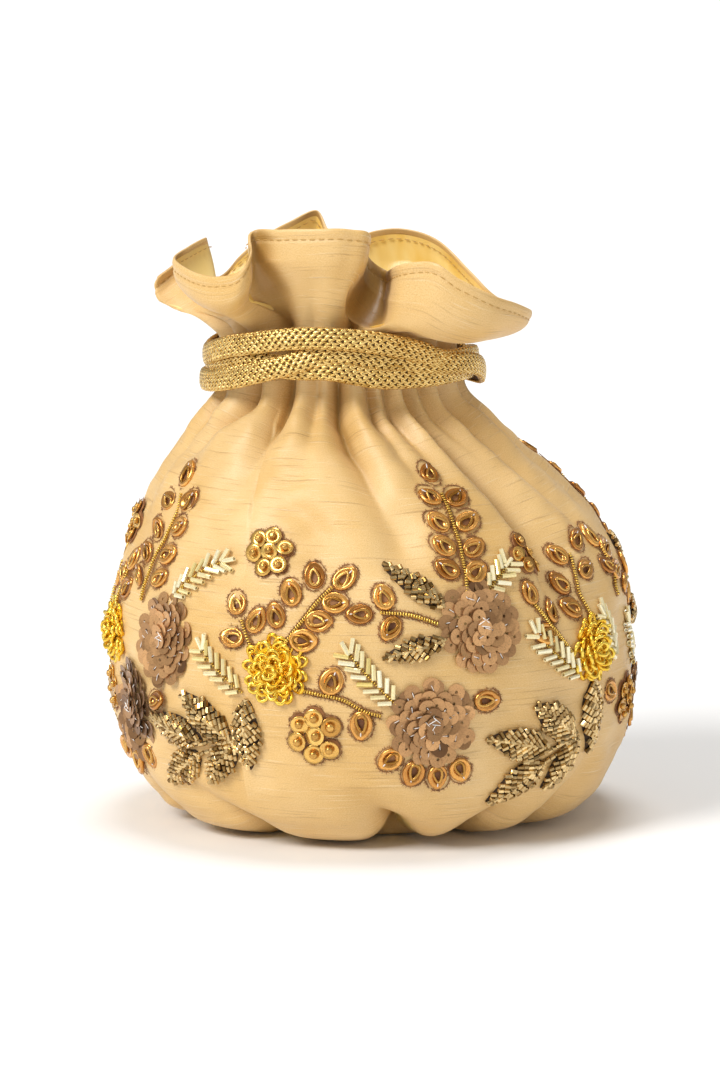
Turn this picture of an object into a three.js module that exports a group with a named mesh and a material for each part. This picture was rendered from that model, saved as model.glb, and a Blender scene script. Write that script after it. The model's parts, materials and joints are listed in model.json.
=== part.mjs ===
// A gathered silk drawstring bag (potli), built as a three.js scene graph.
// Units are millimetres, +Z is up, the origin is the middle of the base on the
// surface that the bag stands on, and the front of the bag faces -Y.

import * as THREE from "three";

// ---------------------------------------------------------------- driving dimensions

const SILK_THICKNESS = 0.6;
const LINING_THICKNESS = 0.4;
const LAYER_GAP = 0.35;

const DEPTH_SHARE = 0.94; // front-to-back size of the body over its width
const NECK_CENTRE_X = -9.7;
const NECK_RADIUS = 40;
const NECK_LOW_Z = 134;
const PLEATS = 16;
const PLEAT_DEPTH = 2.6;
const PLEATS_FADE_Z = 114;

const RUFFLE_STAND = 12; // how far up, and how far out, the ruffle leaves the neck
const RUFFLE_FLARE = 3;
const RUFFLE_EDGE_LEAN = 0.3;

const BASE_RADIUS = 40;
const BASE_THICKNESS = 1.8;
const HEM_GAP = 1.6; // between the board's edge and the silk's lower edge
const BASE_GATHERS = 12;
const BASE_GATHER_DEPTH = 3;
const GATHERS_FADE_Z = 22;
const LINING_FLOOR_RADII = [20, 38, 56]; // of the rings across the lining's floor
const LINING_FLOOR_RISE = 0.01; // for each millimetre out from the middle

const CORD_WIDTH = 4.4;
const CORD_THICKNESS = 2.6;
const CORD_TURNS = 3;
const CORD_PITCH = 4.7;
const CORD_Z = 142.5;
const CORD_FRONT_RISE = 3;
const CORD_TO_RUFFLE = 9; // from the middle of the turns to the foot of the ruffle
const TAIL_WIDTH = 5;
const KNOT_DIRECTION = 209; // round the neck, between two of the tall sprigs

const PAD_GAP = 0.6; // from the silk to the underside of a motif
const PAD_EDGE = 1.2; // from the silk to the top of a motif's edge

// The motifs of one repeat of the embroidery: where each starts, in degrees round the bag
// and millimetres up, and its size. A flower starts at its middle. A leaf starts at its
// foot and leans to the right by so many degrees.
const WIRE_FLOWER = { start: [-20.6, 57.4], radius: 9.5, thickness: 4 };
const FLOWER_SPRIG = { start: [-18, 68.5], length: 25, lean: 32, width: 13, thickness: 2.2 };
const BUGLE_LEAF = { start: [-29.5, 50.5], length: 20, lean: -42, width: 8, thickness: 2.2 };
const BEAD_LEAVES = { start: [-30.5, 42], length: 30, lean: -112, width: 15, thickness: 2.6 };
const BEAD_LEAF = { start: [-25.5, 45], length: 21, lean: 186, width: 7, thickness: 2.6 };
const UPPER_SEQUIN_FLOWER = { start: [23.5, 70.5], radius: 12.5, thickness: 3.4 };
const LOWER_SEQUIN_FLOWER = { start: [12.7, 41.8], radius: 13, thickness: 3.4 };
const TALL_SPRIG = { start: [21.5, 84], length: 31, lean: 6, width: 13, thickness: 2.2 };
const UPPER_BERRIES = { start: [-24, 91], radius: 6.5, thickness: 2.6 };
const LOWER_BERRIES = { start: [-12.2, 37.8], radius: 7.6, thickness: 2.6 };

// How far round the bag each repeat's motifs are moved. The last repeat is squeezed up
// by the side seam.
const WIRE_SHIFTS = [0, 75.5, 156, 228, 305];
const SEQUIN_SHIFTS = [0, 82, 154, 225.5, 285];
const BEAD_SHIFTS = [0, 80, 160, 232, 299];
const LOWER_BERRY_SHIFTS = [0, 84, 163, 235, 294.5];
const UPPER_BERRY_SHIFTS = [0, 64, 145, 217, 299];

// The body's outline, from the floor up: height, half width, middle's x.
const BODY = [
  [0, 52, 0],
  [2.5, 63, 0],
  [8, 71.5, 0.8],
  [15, 76.2, 0.8],
  [27, 80, 0.5],
  [40, 81.9, 0],
  [53, 82.5, 0],
  [66, 81.6, 0],
  [78, 78.9, 0],
  [91, 74, -0.6],
  [104, 66.5, -3.4],
  [116, 57.3, -6.2],
  [126, 49.5, -8.2],
  [131, 45, -9.2],
  [NECK_LOW_Z, 40.6, NECK_CENTRE_X],
];

// The turning points of the ruffle's edge: direction of the neck below it, then x, y, z.
const RIM = [
  [-29, -37, -32, 185],
  [-22, -28, -38, 186.5],
  [-14, -18, -43, 187],
  [-5, -7, -44, 187],
  [2, -0.6, -38, 184.5],
  [5, -1.9, -26, 180],
  [8, 0, -17, 175.5],
  [10, 4, -17, 172.5],
  [12, 5, -28, 173.5],
  [14, 6.5, -41, 175.5],
  [20, 15.8, -54, 178],
  [30, 26, -58, 173],
  [40, 36, -55, 168],
  [50, 43.3, -47, 165],
  [60, 48.3, -36, 162],
  [74, 45, -18, 161],
  [90, 38, 2, 164],
  [106, 31, 14, 170.5],
  [124, 21.4, 28, 179],
  [142, 10.8, 38, 182],
  [160, 0, 40, 181],
  [174, -8.8, 36, 178],
  [188, -14.2, 41, 182],
  [198, -17.7, 46, 187.5],
  [210, -27, 41, 184],
  [224, -36, 38, 179],
  [234, -42, 38, 174],
  [248, -49, 36, 167],
  [260, -58, 24, 165],
  [268, -66, 12, 166.5],
  [274, -68, 5, 168],
  [282, -63, 9, 172],
  [290, -58, 13, 176.5],
  [297, -52.8, 8, 181],
  [302, -57.5, -2, 179],
  [306, -61.5, -14, 176.5],
  [310, -57, -27, 174],
  [314, -50.5, -37, 172.5],
  [318, -44, -43, 173],
  [323, -39, -46, 175.5],
  [327, -36.5, -43, 180],
];

// ---------------------------------------------------------------- small tools

const radians = THREE.MathUtils.degToRad;
const smoothstep = THREE.MathUtils.smoothstep;
const UP = new THREE.Vector3(0, 0, 1);

// A smooth curve through a table's rows, read at a value of the first column.
function readTable(table, at, column) {
  const last = table.length - 1;
  if (at <= table[0][0]) return table[0][column];
  if (at >= table[last][0]) return table[last][column];
  const i = table.findIndex((row) => row[0] > at) - 1;
  const slope = (k) => {
    const low = table[Math.max(k - 1, 0)];
    const high = table[Math.min(k + 1, last)];
    return (high[column] - low[column]) / (high[0] - low[0]);
  };
  const span = table[i + 1][0] - table[i][0];
  const t = (at - table[i][0]) / span;
  const blend = t * t * (3 - 2 * t);
  const start = table[i][column] + slope(i) * span * t;
  const end = table[i + 1][column] - slope(i + 1) * span * (1 - t);
  return start * (1 - blend) + end * blend;
}

// A closed body from a loop of rings, each a list of the same number of points.
// The rings run from one end to the other; each end is closed by a fan.
function bodyOfRings(rings) {
  const positions = [];
  const push = (...points) => points.forEach((p) => positions.push(p.x, p.y, p.z));
  const count = rings[0].length;
  for (let r = 0; r + 1 < rings.length; r++) {
    for (let i = 0; i < count; i++) {
      const j = (i + 1) % count;
      push(rings[r][i], rings[r][j], rings[r + 1][j]);
      push(rings[r][i], rings[r + 1][j], rings[r + 1][i]);
    }
  }
  const cap = (ring, turned) => {
    for (let i = 1; i + 1 < count; i++) {
      if (turned) push(ring[0], ring[i + 1], ring[i]);
      else push(ring[0], ring[i], ring[i + 1]);
    }
  };
  cap(rings[0], true);
  cap(rings[rings.length - 1], false);
  return geometryOf(positions);
}

// A closed shell between an outer and an inner grid of points. Each grid is a list of
// rows, and each row goes once round. A grid that starts at a pole has one point there.
function shellOfGrids(outer, inner, closedBottom) {
  const positions = [];
  const push = (...points) => points.forEach((p) => positions.push(p.x, p.y, p.z));
  const skin = (grid, turned) => {
    for (let r = 0; r + 1 < grid.length; r++) {
      const count = grid[r + 1].length;
      for (let i = 0; i < count; i++) {
        const j = (i + 1) % count;
        const [a, b] = grid[r].length === 1 ? [grid[r][0], grid[r][0]] : [grid[r][i], grid[r][j]];
        const [c, d] = [grid[r + 1][j], grid[r + 1][i]];
        if (turned) {
          push(a, d, c);
          if (a !== b) push(a, c, b);
        } else {
          push(a, c, d);
          if (a !== b) push(a, b, c);
        }
      }
    }
  };
  const edge = (from, to) => {
    for (let i = 0; i < from.length; i++) {
      const j = (i + 1) % from.length;
      push(from[i], from[j], to[j]);
      push(from[i], to[j], to[i]);
    }
  };
  skin(outer, false);
  skin(inner, true);
  edge(outer[outer.length - 1], inner[inner.length - 1]);
  if (!closedBottom) edge(inner[0], outer[0]);
  return geometryOf(positions);
}

function geometryOf(positions) {
  const geometry = new THREE.BufferGeometry();
  geometry.setAttribute("position", new THREE.Float32BufferAttribute(positions, 3));
  geometry.computeVertexNormals();
  return geometry;
}

// ---------------------------------------------------------------- the cloth's surface

// The pleats' height at a direction round the neck: 1 on a crest and -1 in a valley.
function pleatWave(degrees) {
  return Math.cos(radians(degrees) * PLEATS);
}

// A point of the body below the neck, without its thickness.
function bodyPoint(degrees, z, lift = 0) {
  const angle = radians(degrees);
  const pleat = smoothstep(z, PLEATS_FADE_Z, NECK_LOW_Z) * PLEAT_DEPTH;
  const gather = (1 - smoothstep(z, 0, GATHERS_FADE_Z)) * BASE_GATHER_DEPTH;
  const dent = (pleat * (1 - pleatWave(degrees))) / 2;
  const tuck = (gather * (1 - Math.cos(angle * BASE_GATHERS))) / 2;
  const radius = readTable(BODY, z, 1) - dent - tuck + lift;
  const x = readTable(BODY, z, 2) + radius * Math.sin(angle);
  return new THREE.Vector3(x, -DEPTH_SHARE * radius * Math.cos(angle), z);
}

// The outward normal of the body at a direction and height.
function bodyNormal(degrees, z) {
  const step = 0.5;
  const along = bodyPoint(degrees + step, z).sub(bodyPoint(degrees - step, z));
  const upward = bodyPoint(degrees, z + step).sub(bodyPoint(degrees, Math.max(z - step, 0)));
  return along.cross(upward).normalize();
}

// The middle of the band of turns at a direction round the neck: it rides up at the front.
function bandHeight(degrees) {
  return CORD_Z + CORD_FRONT_RISE * Math.max(0, Math.cos(radians(degrees)));
}

// A point of the neck, which the cord covers: share 0 is its foot and share 1 its top.
function neckPoint(degrees, share) {
  const angle = radians(degrees);
  const radius = NECK_RADIUS - (PLEAT_DEPTH * (1 - pleatWave(degrees))) / 2;
  const depth = THREE.MathUtils.lerp(DEPTH_SHARE, 1, smoothstep(share, 0, 0.5));
  const z = THREE.MathUtils.lerp(NECK_LOW_Z, bandHeight(degrees) + CORD_TO_RUFFLE, share);
  return new THREE.Vector3(
    NECK_CENTRE_X + radius * Math.sin(angle),
    -depth * radius * Math.cos(angle),
    z,
  );
}

// A point of the ruffle: share 0 is the top of the neck and share 1 the edge.
function rufflePoint(index, degrees, share) {
  const from = neckPoint(degrees, 1);
  const to = rimPoint(index, degrees);
  const outward = new THREE.Vector3(from.x - NECK_CENTRE_X, from.y, 0).normalize();
  const rise = outward.multiplyScalar(RUFFLE_FLARE).addScaledVector(UP, RUFFLE_STAND);
  const lean = to.clone().sub(from).multiplyScalar(RUFFLE_EDGE_LEAN);
  return new THREE.CubicBezierCurve3(
    from,
    from.clone().add(rise),
    to.clone().sub(lean),
    to,
  ).getPoint(share);
}

// The ruffle's edge over a direction of the neck.
function rimPoint(index, degrees) {
  const [first] = RIM;
  const table = [...RIM, [first[0] + 360, ...first.slice(1)]];
  return new THREE.Vector3(
    readTable(table, degrees, 1),
    readTable(table, degrees, 2),
    readTable(table, degrees, 3),
  );
}

// The directions of the cloth's columns: the edge's turning points, and one more in
// each wide gap between them.
function columnDirections() {
  const widest = 9;
  const directions = [];
  RIM.forEach(([degrees], i) => {
    const next = i + 1 < RIM.length ? RIM[i + 1][0] : RIM[0][0] + 360;
    directions.push(degrees);
    if (next - degrees > widest) directions.push((degrees + next) / 2);
  });
  return directions;
}

// The cloth as a grid of points: rows from the base's edge up to the ruffle's edge.
function clothGrid() {
  const directions = columnDirections();
  const hem = { radius: BASE_RADIUS + HEM_GAP, z: BASE_THICKNESS / 2 };
  const bodyHeights = [0, 2.5, 8, 15, 29, 47, 65, 83, 99, 113, 125, 131, NECK_LOW_Z];
  const neckShares = [0.35, 1];
  const ruffleShares = [0.33, 0.67, 1];
  return [
    directions.map((degrees) => {
      const angle = radians(degrees);
      const y = -DEPTH_SHARE * hem.radius * Math.cos(angle);
      return new THREE.Vector3(hem.radius * Math.sin(angle), y, hem.z);
    }),
    ...bodyHeights.map((z) => directions.map((degrees) => bodyPoint(degrees, z))),
    ...neckShares.map((share) => directions.map((degrees) => neckPoint(degrees, share))),
    ...ruffleShares.map((share) => directions.map((degrees, i) => rufflePoint(i, degrees, share))),
  ];
}

// The same grid moved inwards, along the cloth's own normals.
function offsetGrid(grid, distance) {
  const rows = grid.length;
  return grid.map((row, r) =>
    row.map((point, i) => {
      const count = row.length;
      const along = row[(i + 1) % count].clone().sub(row[(i + count - 1) % count]);
      const upward = grid[Math.min(r + 1, rows - 1)][i].clone().sub(grid[Math.max(r - 1, 0)][i]);
      const normal = along.cross(upward).normalize();
      return point.clone().addScaledVector(normal, -distance);
    }),
  );
}

// ---------------------------------------------------------------- the cloth pieces

const silk = new THREE.MeshStandardMaterial({ color: 0xe3c896, roughness: 0.5, metalness: 0.05 });
const satin = new THREE.MeshStandardMaterial({ color: 0xf2cf6a, roughness: 0.35, metalness: 0 });
const zari = new THREE.MeshStandardMaterial({ color: 0xc9a24e, roughness: 0.4, metalness: 0.7 });
const copper = new THREE.MeshStandardMaterial({ color: 0xa67b55, roughness: 0.35, metalness: 0.8 });
const wire = new THREE.MeshStandardMaterial({ color: 0xf0c030, roughness: 0.25, metalness: 0.9 });
const bugle = new THREE.MeshStandardMaterial({ color: 0xe6dcae, roughness: 0.1, metalness: 0.3 });
const antique = new THREE.MeshStandardMaterial({ color: 0x8f7440, roughness: 0.3, metalness: 0.9 });
const amber = new THREE.MeshStandardMaterial({ color: 0xc98a3c, roughness: 0.3, metalness: 0.8 });

const bag = new THREE.Group();

function add(name, geometry, material) {
  const mesh = new THREE.Mesh(geometry, material);
  mesh.name = name;
  bag.add(mesh);
}

// The silk: one sleeve of cloth, gathered on to the base below and in at the neck.
function silkBody() {
  const outer = clothGrid();
  return shellOfGrids(outer, offsetGrid(outer, SILK_THICKNESS), false);
}

// The lining: the same sleeve just inside the silk, closed over the base.
function satinLining() {
  const cloth = clothGrid();
  const from = SILK_THICKNESS + LAYER_GAP;
  const floor = BASE_THICKNESS + LAYER_GAP;
  const firstSharedRow = 3;
  const layer = (distance, lift) => [
    [new THREE.Vector3(0, 0, floor + lift)],
    ...LINING_FLOOR_RADII.map((radius) =>
      columnDirections().map((degrees) => {
        const angle = radians(degrees);
        const y = -DEPTH_SHARE * radius * Math.cos(angle);
        const z = floor + LINING_FLOOR_RISE * radius + lift;
        return new THREE.Vector3(radius * Math.sin(angle), y, z);
      }),
    ),
    ...offsetGrid(cloth, distance).slice(firstSharedRow),
  ];
  return shellOfGrids(layer(from, 0), layer(from + LINING_THICKNESS, LINING_THICKNESS), true);
}

// The covered board that the silk is gathered on to.
function baseDisc() {
  const sides = 32;
  const disc = new THREE.CylinderGeometry(BASE_RADIUS, BASE_RADIUS, BASE_THICKNESS, sides);
  disc.rotateX(Math.PI / 2);
  disc.scale(1, DEPTH_SHARE, 1);
  disc.translate(0, 0, BASE_THICKNESS / 2);
  return disc;
}

// ---------------------------------------------------------------- the cord

// A flat cord along a list of places, each with the direction that its flat side faces.
function flatCord(places, width, thickness) {
  const sides = 8;
  const rings = places.map(({ at, facing }, i) => {
    const before = places[Math.max(i - 1, 0)].at;
    const after = places[Math.min(i + 1, places.length - 1)].at;
    const along = after.clone().sub(before).normalize();
    const across = facing.clone().cross(along).normalize();
    const out = along.clone().cross(across).normalize();
    return Array.from({ length: sides }, (_, k) => {
      const turn = ((k + 0.5) * 2 * Math.PI) / sides;
      return at
        .clone()
        .addScaledVector(across, (Math.cos(turn) * width) / 2)
        .addScaledVector(out, (Math.sin(turn) * thickness) / 2);
    });
  });
  return bodyOfRings(rings);
}

// A place on the neck's outside, at a distance from its crests.
function onNeck(degrees, z, distance) {
  const angle = radians(degrees);
  const facing = new THREE.Vector3(Math.sin(angle), -Math.cos(angle), 0);
  const at = facing.clone().multiplyScalar(NECK_RADIUS + distance);
  at.x += NECK_CENTRE_X;
  at.z = z;
  return { at, facing };
}

const KNOT = { halfWidth: 7, halfHeight: 5, inner: 4.4, outer: 10.5 };
const CORD_SEAT = 1.1 + CORD_THICKNESS / 2;

// The turns round the neck. Each end lifts off the band to reach the knot at the back.
function drawcord() {
  const steps = 80;
  const halfTurns = 180 * CORD_TURNS;
  const endGap = 11;
  const intoKnot = 1.4;
  const places = [];
  for (let i = 0; i <= steps; i++) {
    const turned = THREE.MathUtils.lerp(-halfTurns + endGap, halfTurns - endGap, i / steps);
    const toEnd = halfTurns - endGap - Math.abs(turned);
    const lifted = 1 - smoothstep(toEnd, 12, 34);
    const level = (turned / 360) * CORD_PITCH;
    const drawnIn = 1 - smoothstep(toEnd, 0, 14);
    const degrees = KNOT_DIRECTION - 180 + turned;
    const z = bandHeight(degrees) + level * (1 - drawnIn);
    places.push(onNeck(degrees, z, CORD_SEAT + lifted * (KNOT.inner + intoKnot)));
  }
  return flatCord(places, CORD_WIDTH, CORD_THICKNESS);
}

// The knot that ties the turns at the back.
function cordKnot() {
  const knot = new THREE.SphereGeometry(1, 12, 8);
  const { at } = onNeck(KNOT_DIRECTION, CORD_Z, (KNOT.outer + KNOT.inner) / 2);
  knot.rotateX(Math.PI / 2);
  knot.scale(KNOT.halfWidth, (KNOT.outer - KNOT.inner) / 2, KNOT.halfHeight);
  knot.rotateZ(radians(KNOT_DIRECTION));
  knot.translate(at.x, at.y, at.z);
  return knot;
}

const TAIL = { top: 131.5, bottom: 101, spread: 9, lift: 2.1 };

function tailPlace(side, share) {
  const z = THREE.MathUtils.lerp(TAIL.top, TAIL.bottom, share);
  const degrees = KNOT_DIRECTION + side * THREE.MathUtils.lerp(4.5, TAIL.spread, share);
  const facing = bodyNormal(degrees, z);
  const fromKnot = 3.4 * (1 - smoothstep(share, 0, 0.3));
  const at = bodyPoint(degrees, z).addScaledVector(facing, TAIL.lift + fromKnot);
  return { at, facing };
}

// A free end of the cord, lying on the back of the body.
function cordTail(side) {
  const steps = 8;
  const places = Array.from({ length: steps + 1 }, (_, i) => tailPlace(side, i / steps));
  return flatCord(places, TAIL_WIDTH, CORD_THICKNESS);
}

// The small stopper knot at the end of a tail.
function stopperKnot(side) {
  const below = 3.4;
  const clearOfSilk = 1.3;
  const radius = 3;
  const end = tailPlace(side, 1);
  const along = end.at.clone().sub(tailPlace(side, 0.9).at).normalize();
  const knot = new THREE.IcosahedronGeometry(radius, 1);
  const middle = end.at.addScaledVector(along, below).addScaledVector(end.facing, clearOfSilk);
  knot.translate(middle.x, middle.y, middle.z);
  return knot;
}

// ---------------------------------------------------------------- the embroidery

// A place on the body, so many millimetres to the right of and above a start, and
// so far out from the silk.
function fromStart([degrees, z], right, above, distance) {
  const reach = 1;
  const [lower, upper] = [bodyPoint(degrees, z - reach), bodyPoint(degrees, z + reach)];
  const slope = (2 * reach) / lower.distanceTo(upper);
  const height = z + above * slope;
  const turned = degrees + THREE.MathUtils.radToDeg(right / readTable(BODY, height, 1));
  return bodyPoint(turned, height).addScaledVector(bodyNormal(turned, height), distance);
}

// A low pad that follows the silk: along a line from a start, so long, leaning to the
// right by an angle, with a half width at each share of its length.
function pad(start, length, lean, thickness, halfWidthAt) {
  const sections = 6;
  const along = [Math.sin(radians(lean)), Math.cos(radians(lean))];
  const across = [along[1], -along[0]];
  const rings = Array.from({ length: sections }, (_, i) => {
    const share = i / (sections - 1);
    const half = halfWidthAt(share);
    const place = (side, distance) =>
      fromStart(
        start,
        along[0] * length * share + across[0] * half * side,
        along[1] * length * share + across[1] * half * side,
        distance,
      );
    return [
      place(0, PAD_GAP),
      place(1, PAD_GAP),
      place(1, PAD_EDGE),
      place(0, thickness),
      place(-1, PAD_EDGE),
      place(-1, PAD_GAP),
    ];
  });
  return bodyOfRings(rings.reverse());
}

// A round flower, cut off flat at its lowest and highest points.
function flowerPad({ start, radius, thickness }) {
  const low = fromStart(start, 0, -radius, 0);
  const trim = 0.08;
  const round = (share) => {
    const t = THREE.MathUtils.lerp(trim, 2 - trim, share) - 1;
    return radius * Math.sqrt(1 - t * t);
  };
  return pad([start[0], low.z], 2 * radius, 0, thickness, round);
}

// A leaf or a sprig: pointed at both ends, widest a little below its middle.
function leafPad({ start, length, lean, width, thickness }) {
  const tip = 0.5;
  const lowBelly = 0.85;
  const taper = (share) => tip + (width / 2 - tip) * Math.sin(Math.PI * share ** lowBelly);
  return pad(start, length, lean, thickness, taper);
}

function shifted(motif, degrees) {
  return { ...motif, start: [motif.start[0] + degrees, motif.start[1]] };
}

WIRE_SHIFTS.forEach((shift, i) => {
  add(`wire_flower_${i + 1}`, flowerPad(shifted(WIRE_FLOWER, shift)), wire);
  add(`flower_sprig_${i + 1}`, leafPad(shifted(FLOWER_SPRIG, shift)), amber);
  add(`bugle_leaf_${i + 1}`, leafPad(shifted(BUGLE_LEAF, shift)), bugle);
});
BEAD_SHIFTS.forEach((shift, i) => {
  add(`bead_leaves_${i + 1}`, leafPad(shifted(BEAD_LEAVES, shift)), antique);
  add(`bead_leaf_${i + 1}`, leafPad(shifted(BEAD_LEAF, shift)), antique);
});
SEQUIN_SHIFTS.forEach((shift, i) => {
  add(`sequin_flower_upper_${i + 1}`, flowerPad(shifted(UPPER_SEQUIN_FLOWER, shift)), copper);
  add(`sequin_flower_lower_${i + 1}`, flowerPad(shifted(LOWER_SEQUIN_FLOWER, shift)), copper);
  add(`tall_sprig_${i + 1}`, leafPad(shifted(TALL_SPRIG, shift)), amber);
});
UPPER_BERRY_SHIFTS.forEach((shift, i) => {
  add(`upper_berries_${i + 1}`, flowerPad(shifted(UPPER_BERRIES, shift)), amber);
});
LOWER_BERRY_SHIFTS.forEach((shift, i) => {
  add(`lower_berries_${i + 1}`, flowerPad(shifted(LOWER_BERRIES, shift)), amber);
});

// ---------------------------------------------------------------- the assembly

add("silk_body", silkBody(), silk);
add("satin_lining", satinLining(), satin);
add("base_disc", baseDisc(), silk);
add("drawcord", drawcord(), zari);
add("cord_knot", cordKnot(), zari);
add("cord_tail_left", cordTail(1), zari);
add("cord_tail_right", cordTail(-1), zari);
add("stopper_knot_left", stopperKnot(1), zari);
add("stopper_knot_right", stopperKnot(-1), zari);

export default bag;
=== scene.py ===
"""A raw-silk drawstring pouch with beaded embroidery, dressed and lit for a studio picture.

Every place on the cloth is given by a direction round the bag, in degrees from the front
towards the right, and a height in millimetres. Meshes are made in metres, in the part's frame.
"""

import json
import logging
import math
from dataclasses import dataclass, field
from enum import Enum
from typing import Iterable, Sequence

import bpy
import numpy as np
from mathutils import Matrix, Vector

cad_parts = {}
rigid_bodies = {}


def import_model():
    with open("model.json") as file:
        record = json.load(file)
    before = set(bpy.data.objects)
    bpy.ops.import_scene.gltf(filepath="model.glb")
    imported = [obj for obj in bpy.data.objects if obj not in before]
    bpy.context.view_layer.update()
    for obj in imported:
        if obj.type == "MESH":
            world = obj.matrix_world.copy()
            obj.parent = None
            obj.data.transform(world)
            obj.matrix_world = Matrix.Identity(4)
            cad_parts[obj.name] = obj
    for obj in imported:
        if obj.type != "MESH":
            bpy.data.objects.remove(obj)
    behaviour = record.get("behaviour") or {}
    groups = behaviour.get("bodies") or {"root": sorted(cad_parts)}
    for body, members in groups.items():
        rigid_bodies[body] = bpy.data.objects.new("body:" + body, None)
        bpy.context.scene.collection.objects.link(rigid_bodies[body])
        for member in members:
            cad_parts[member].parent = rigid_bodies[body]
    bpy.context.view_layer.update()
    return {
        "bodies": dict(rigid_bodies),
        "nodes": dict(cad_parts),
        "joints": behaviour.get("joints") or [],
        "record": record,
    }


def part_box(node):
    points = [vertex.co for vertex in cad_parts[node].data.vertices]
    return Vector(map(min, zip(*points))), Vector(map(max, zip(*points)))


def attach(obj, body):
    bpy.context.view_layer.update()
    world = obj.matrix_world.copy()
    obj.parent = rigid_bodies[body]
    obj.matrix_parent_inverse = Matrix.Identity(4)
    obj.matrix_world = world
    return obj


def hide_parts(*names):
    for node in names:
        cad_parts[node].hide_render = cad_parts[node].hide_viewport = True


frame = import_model()

LOG = logging.getLogger("pouch")
MM = 0.001
SEED = 11

UP = np.array([0.0, 0.0, 1.0])

Array = np.ndarray


# ---------------------------------------------------------------- curves and small tools


def smooth_step(value: Array, low: float, high: float) -> Array:
    """Rises smoothly from 0 at low to 1 at high.

    Args:
        value: The numbers to read.
        low: Where the rise starts.
        high: Where the rise ends.

    Returns:
        The risen share, as an array.
    """
    share = np.clip((np.asarray(value, float) - low) / (high - low), 0, 1)
    return share * share * (3 - 2 * share)


def unit(vectors: Array) -> Array:
    """Returns the vectors at length one."""
    length = np.linalg.norm(vectors, axis=-1, keepdims=True)
    return vectors / np.maximum(length, 1e-12)


def run_along(points: Array) -> Array:
    """Returns how far each point of a line is from the first, along the line."""
    return np.concatenate([[0], np.cumsum(np.linalg.norm(np.diff(points, axis=0), axis=1))])


def evened(line: Array) -> Array:
    """Returns a line's inner points, each drawn towards its two neighbours."""
    return (line[:-2] + 2 * line[1:-1] + line[2:]) / 4


def polar(reach: Array, angle: Array) -> tuple[Array, Array]:
    """Returns how far right and how far up a reach goes, at an angle from upright in degrees."""
    turn = np.radians(angle)
    return reach * np.sin(turn), reach * np.cos(turn)


def headings(ways: Array) -> Array:
    """Returns the angles from upright, in degrees, of ways given as right and up."""
    return np.degrees(np.arctan2(ways[:, 0], ways[:, 1]))


def matched(first: Array, second: Array) -> tuple[Array, Array]:
    """Returns two sets of numbers as arrays of one shape."""
    return tuple(np.broadcast_arrays(np.asarray(first, float), np.asarray(second, float)))


def shades(draw: np.random.Generator, middle: float, spread: float, count: int) -> Array:
    """Draws shades between 0 and 1, most of them near a middle one.

    Args:
        draw: The source of the draws.
        middle: The usual shade.
        spread: How far the shades usually lie from it.
        count: How many to draw.

    Returns:
        The shades.
    """
    return np.clip(draw.normal(middle, spread, count), 0, 1)


class Curve:
    """A smooth curve through a few rows of numbers, the first of which is the place."""

    def __init__(self, rows: Sequence[Sequence[float]], period: float | None = None) -> None:
        """Fits the curve.

        Args:
            rows: Rows of a place and the values there, in order of place.
            period: The length after which a closed curve repeats.
        """
        table = np.array(rows, float)
        if period is not None:
            head = table[:2] + np.eye(1, table.shape[1]) * period
            tail = table[-2:] - np.eye(1, table.shape[1]) * period
            table = np.vstack([tail, table, head])
        self.period = period
        self.start = float(np.array(rows, float)[0, 0])
        self.at = table[:, 0]
        self.values = table[:, 1:]
        self.slopes = np.gradient(self.values, self.at, axis=0)

    def __call__(self, where: Array) -> Array:
        """Reads the curve.

        Args:
            where: The places, in any shape.

        Returns:
            The values, with one more axis than the places unless there is one value a row.
        """
        where = np.asarray(where, float)
        if self.period is not None:
            where = (where - self.start) % self.period + self.start
        where = np.clip(where, self.at[0], self.at[-1])
        i = np.clip(np.searchsorted(self.at, where, side="right") - 1, 0, len(self.at) - 2)
        span = self.at[i + 1] - self.at[i]
        t = ((where - self.at[i]) / span)[..., None]
        span = span[..., None]
        start, end = self.values[i], self.values[i + 1]
        rise, fall = self.slopes[i] * span, self.slopes[i + 1] * span
        read = (
            start * (2 * t**3 - 3 * t**2 + 1) + rise * (t**3 - 2 * t**2 + t)
            + end * (3 * t**2 - 2 * t**3) + fall * (t**3 - t**2)
        )
        return read[..., 0] if read.shape[-1] == 1 else read


def ripple(across: Array, along: Array, length: float, seed: int) -> Array:
    """A soft, irregular swell over two coordinates, between about -1 and 1.

    Args:
        across: The first coordinate, in millimetres.
        along: The second coordinate, in millimetres.
        length: The usual distance from one swell to the next.
        seed: The swell's own number.

    Returns:
        The height of the swell at each place.
    """
    draw = np.random.default_rng(seed)
    total = np.zeros(np.broadcast(across, along).shape)
    waves = 9
    for _ in range(waves):
        turn = draw.uniform(0, 2 * math.pi)
        pace = 2 * math.pi / (length * draw.uniform(0.7, 1.5))
        phase = draw.uniform(0, 2 * math.pi)
        total += np.sin((across * math.cos(turn) + along * math.sin(turn)) * pace + phase)
    return total / math.sqrt(waves)


# ---------------------------------------------------------------- meshes


def grid_faces(rows: int, columns: int, closed: bool = True) -> Array:
    """Faces of a grid of points whose rows go round.

    Args:
        rows: The number of rows.
        columns: The number of points in a row.
        closed: True when each row's last point joins its first.

    Returns:
        Four point numbers for each face, turned outwards for rows that rise.
    """
    r, c = np.meshgrid(np.arange(rows - 1), np.arange(columns if closed else columns - 1), indexing="ij")
    after = (c + 1) % columns
    corners = [r * columns + c, r * columns + after, (r + 1) * columns + after, (r + 1) * columns + c]
    return np.stack(corners, axis=-1).reshape(-1, 4)


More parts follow.
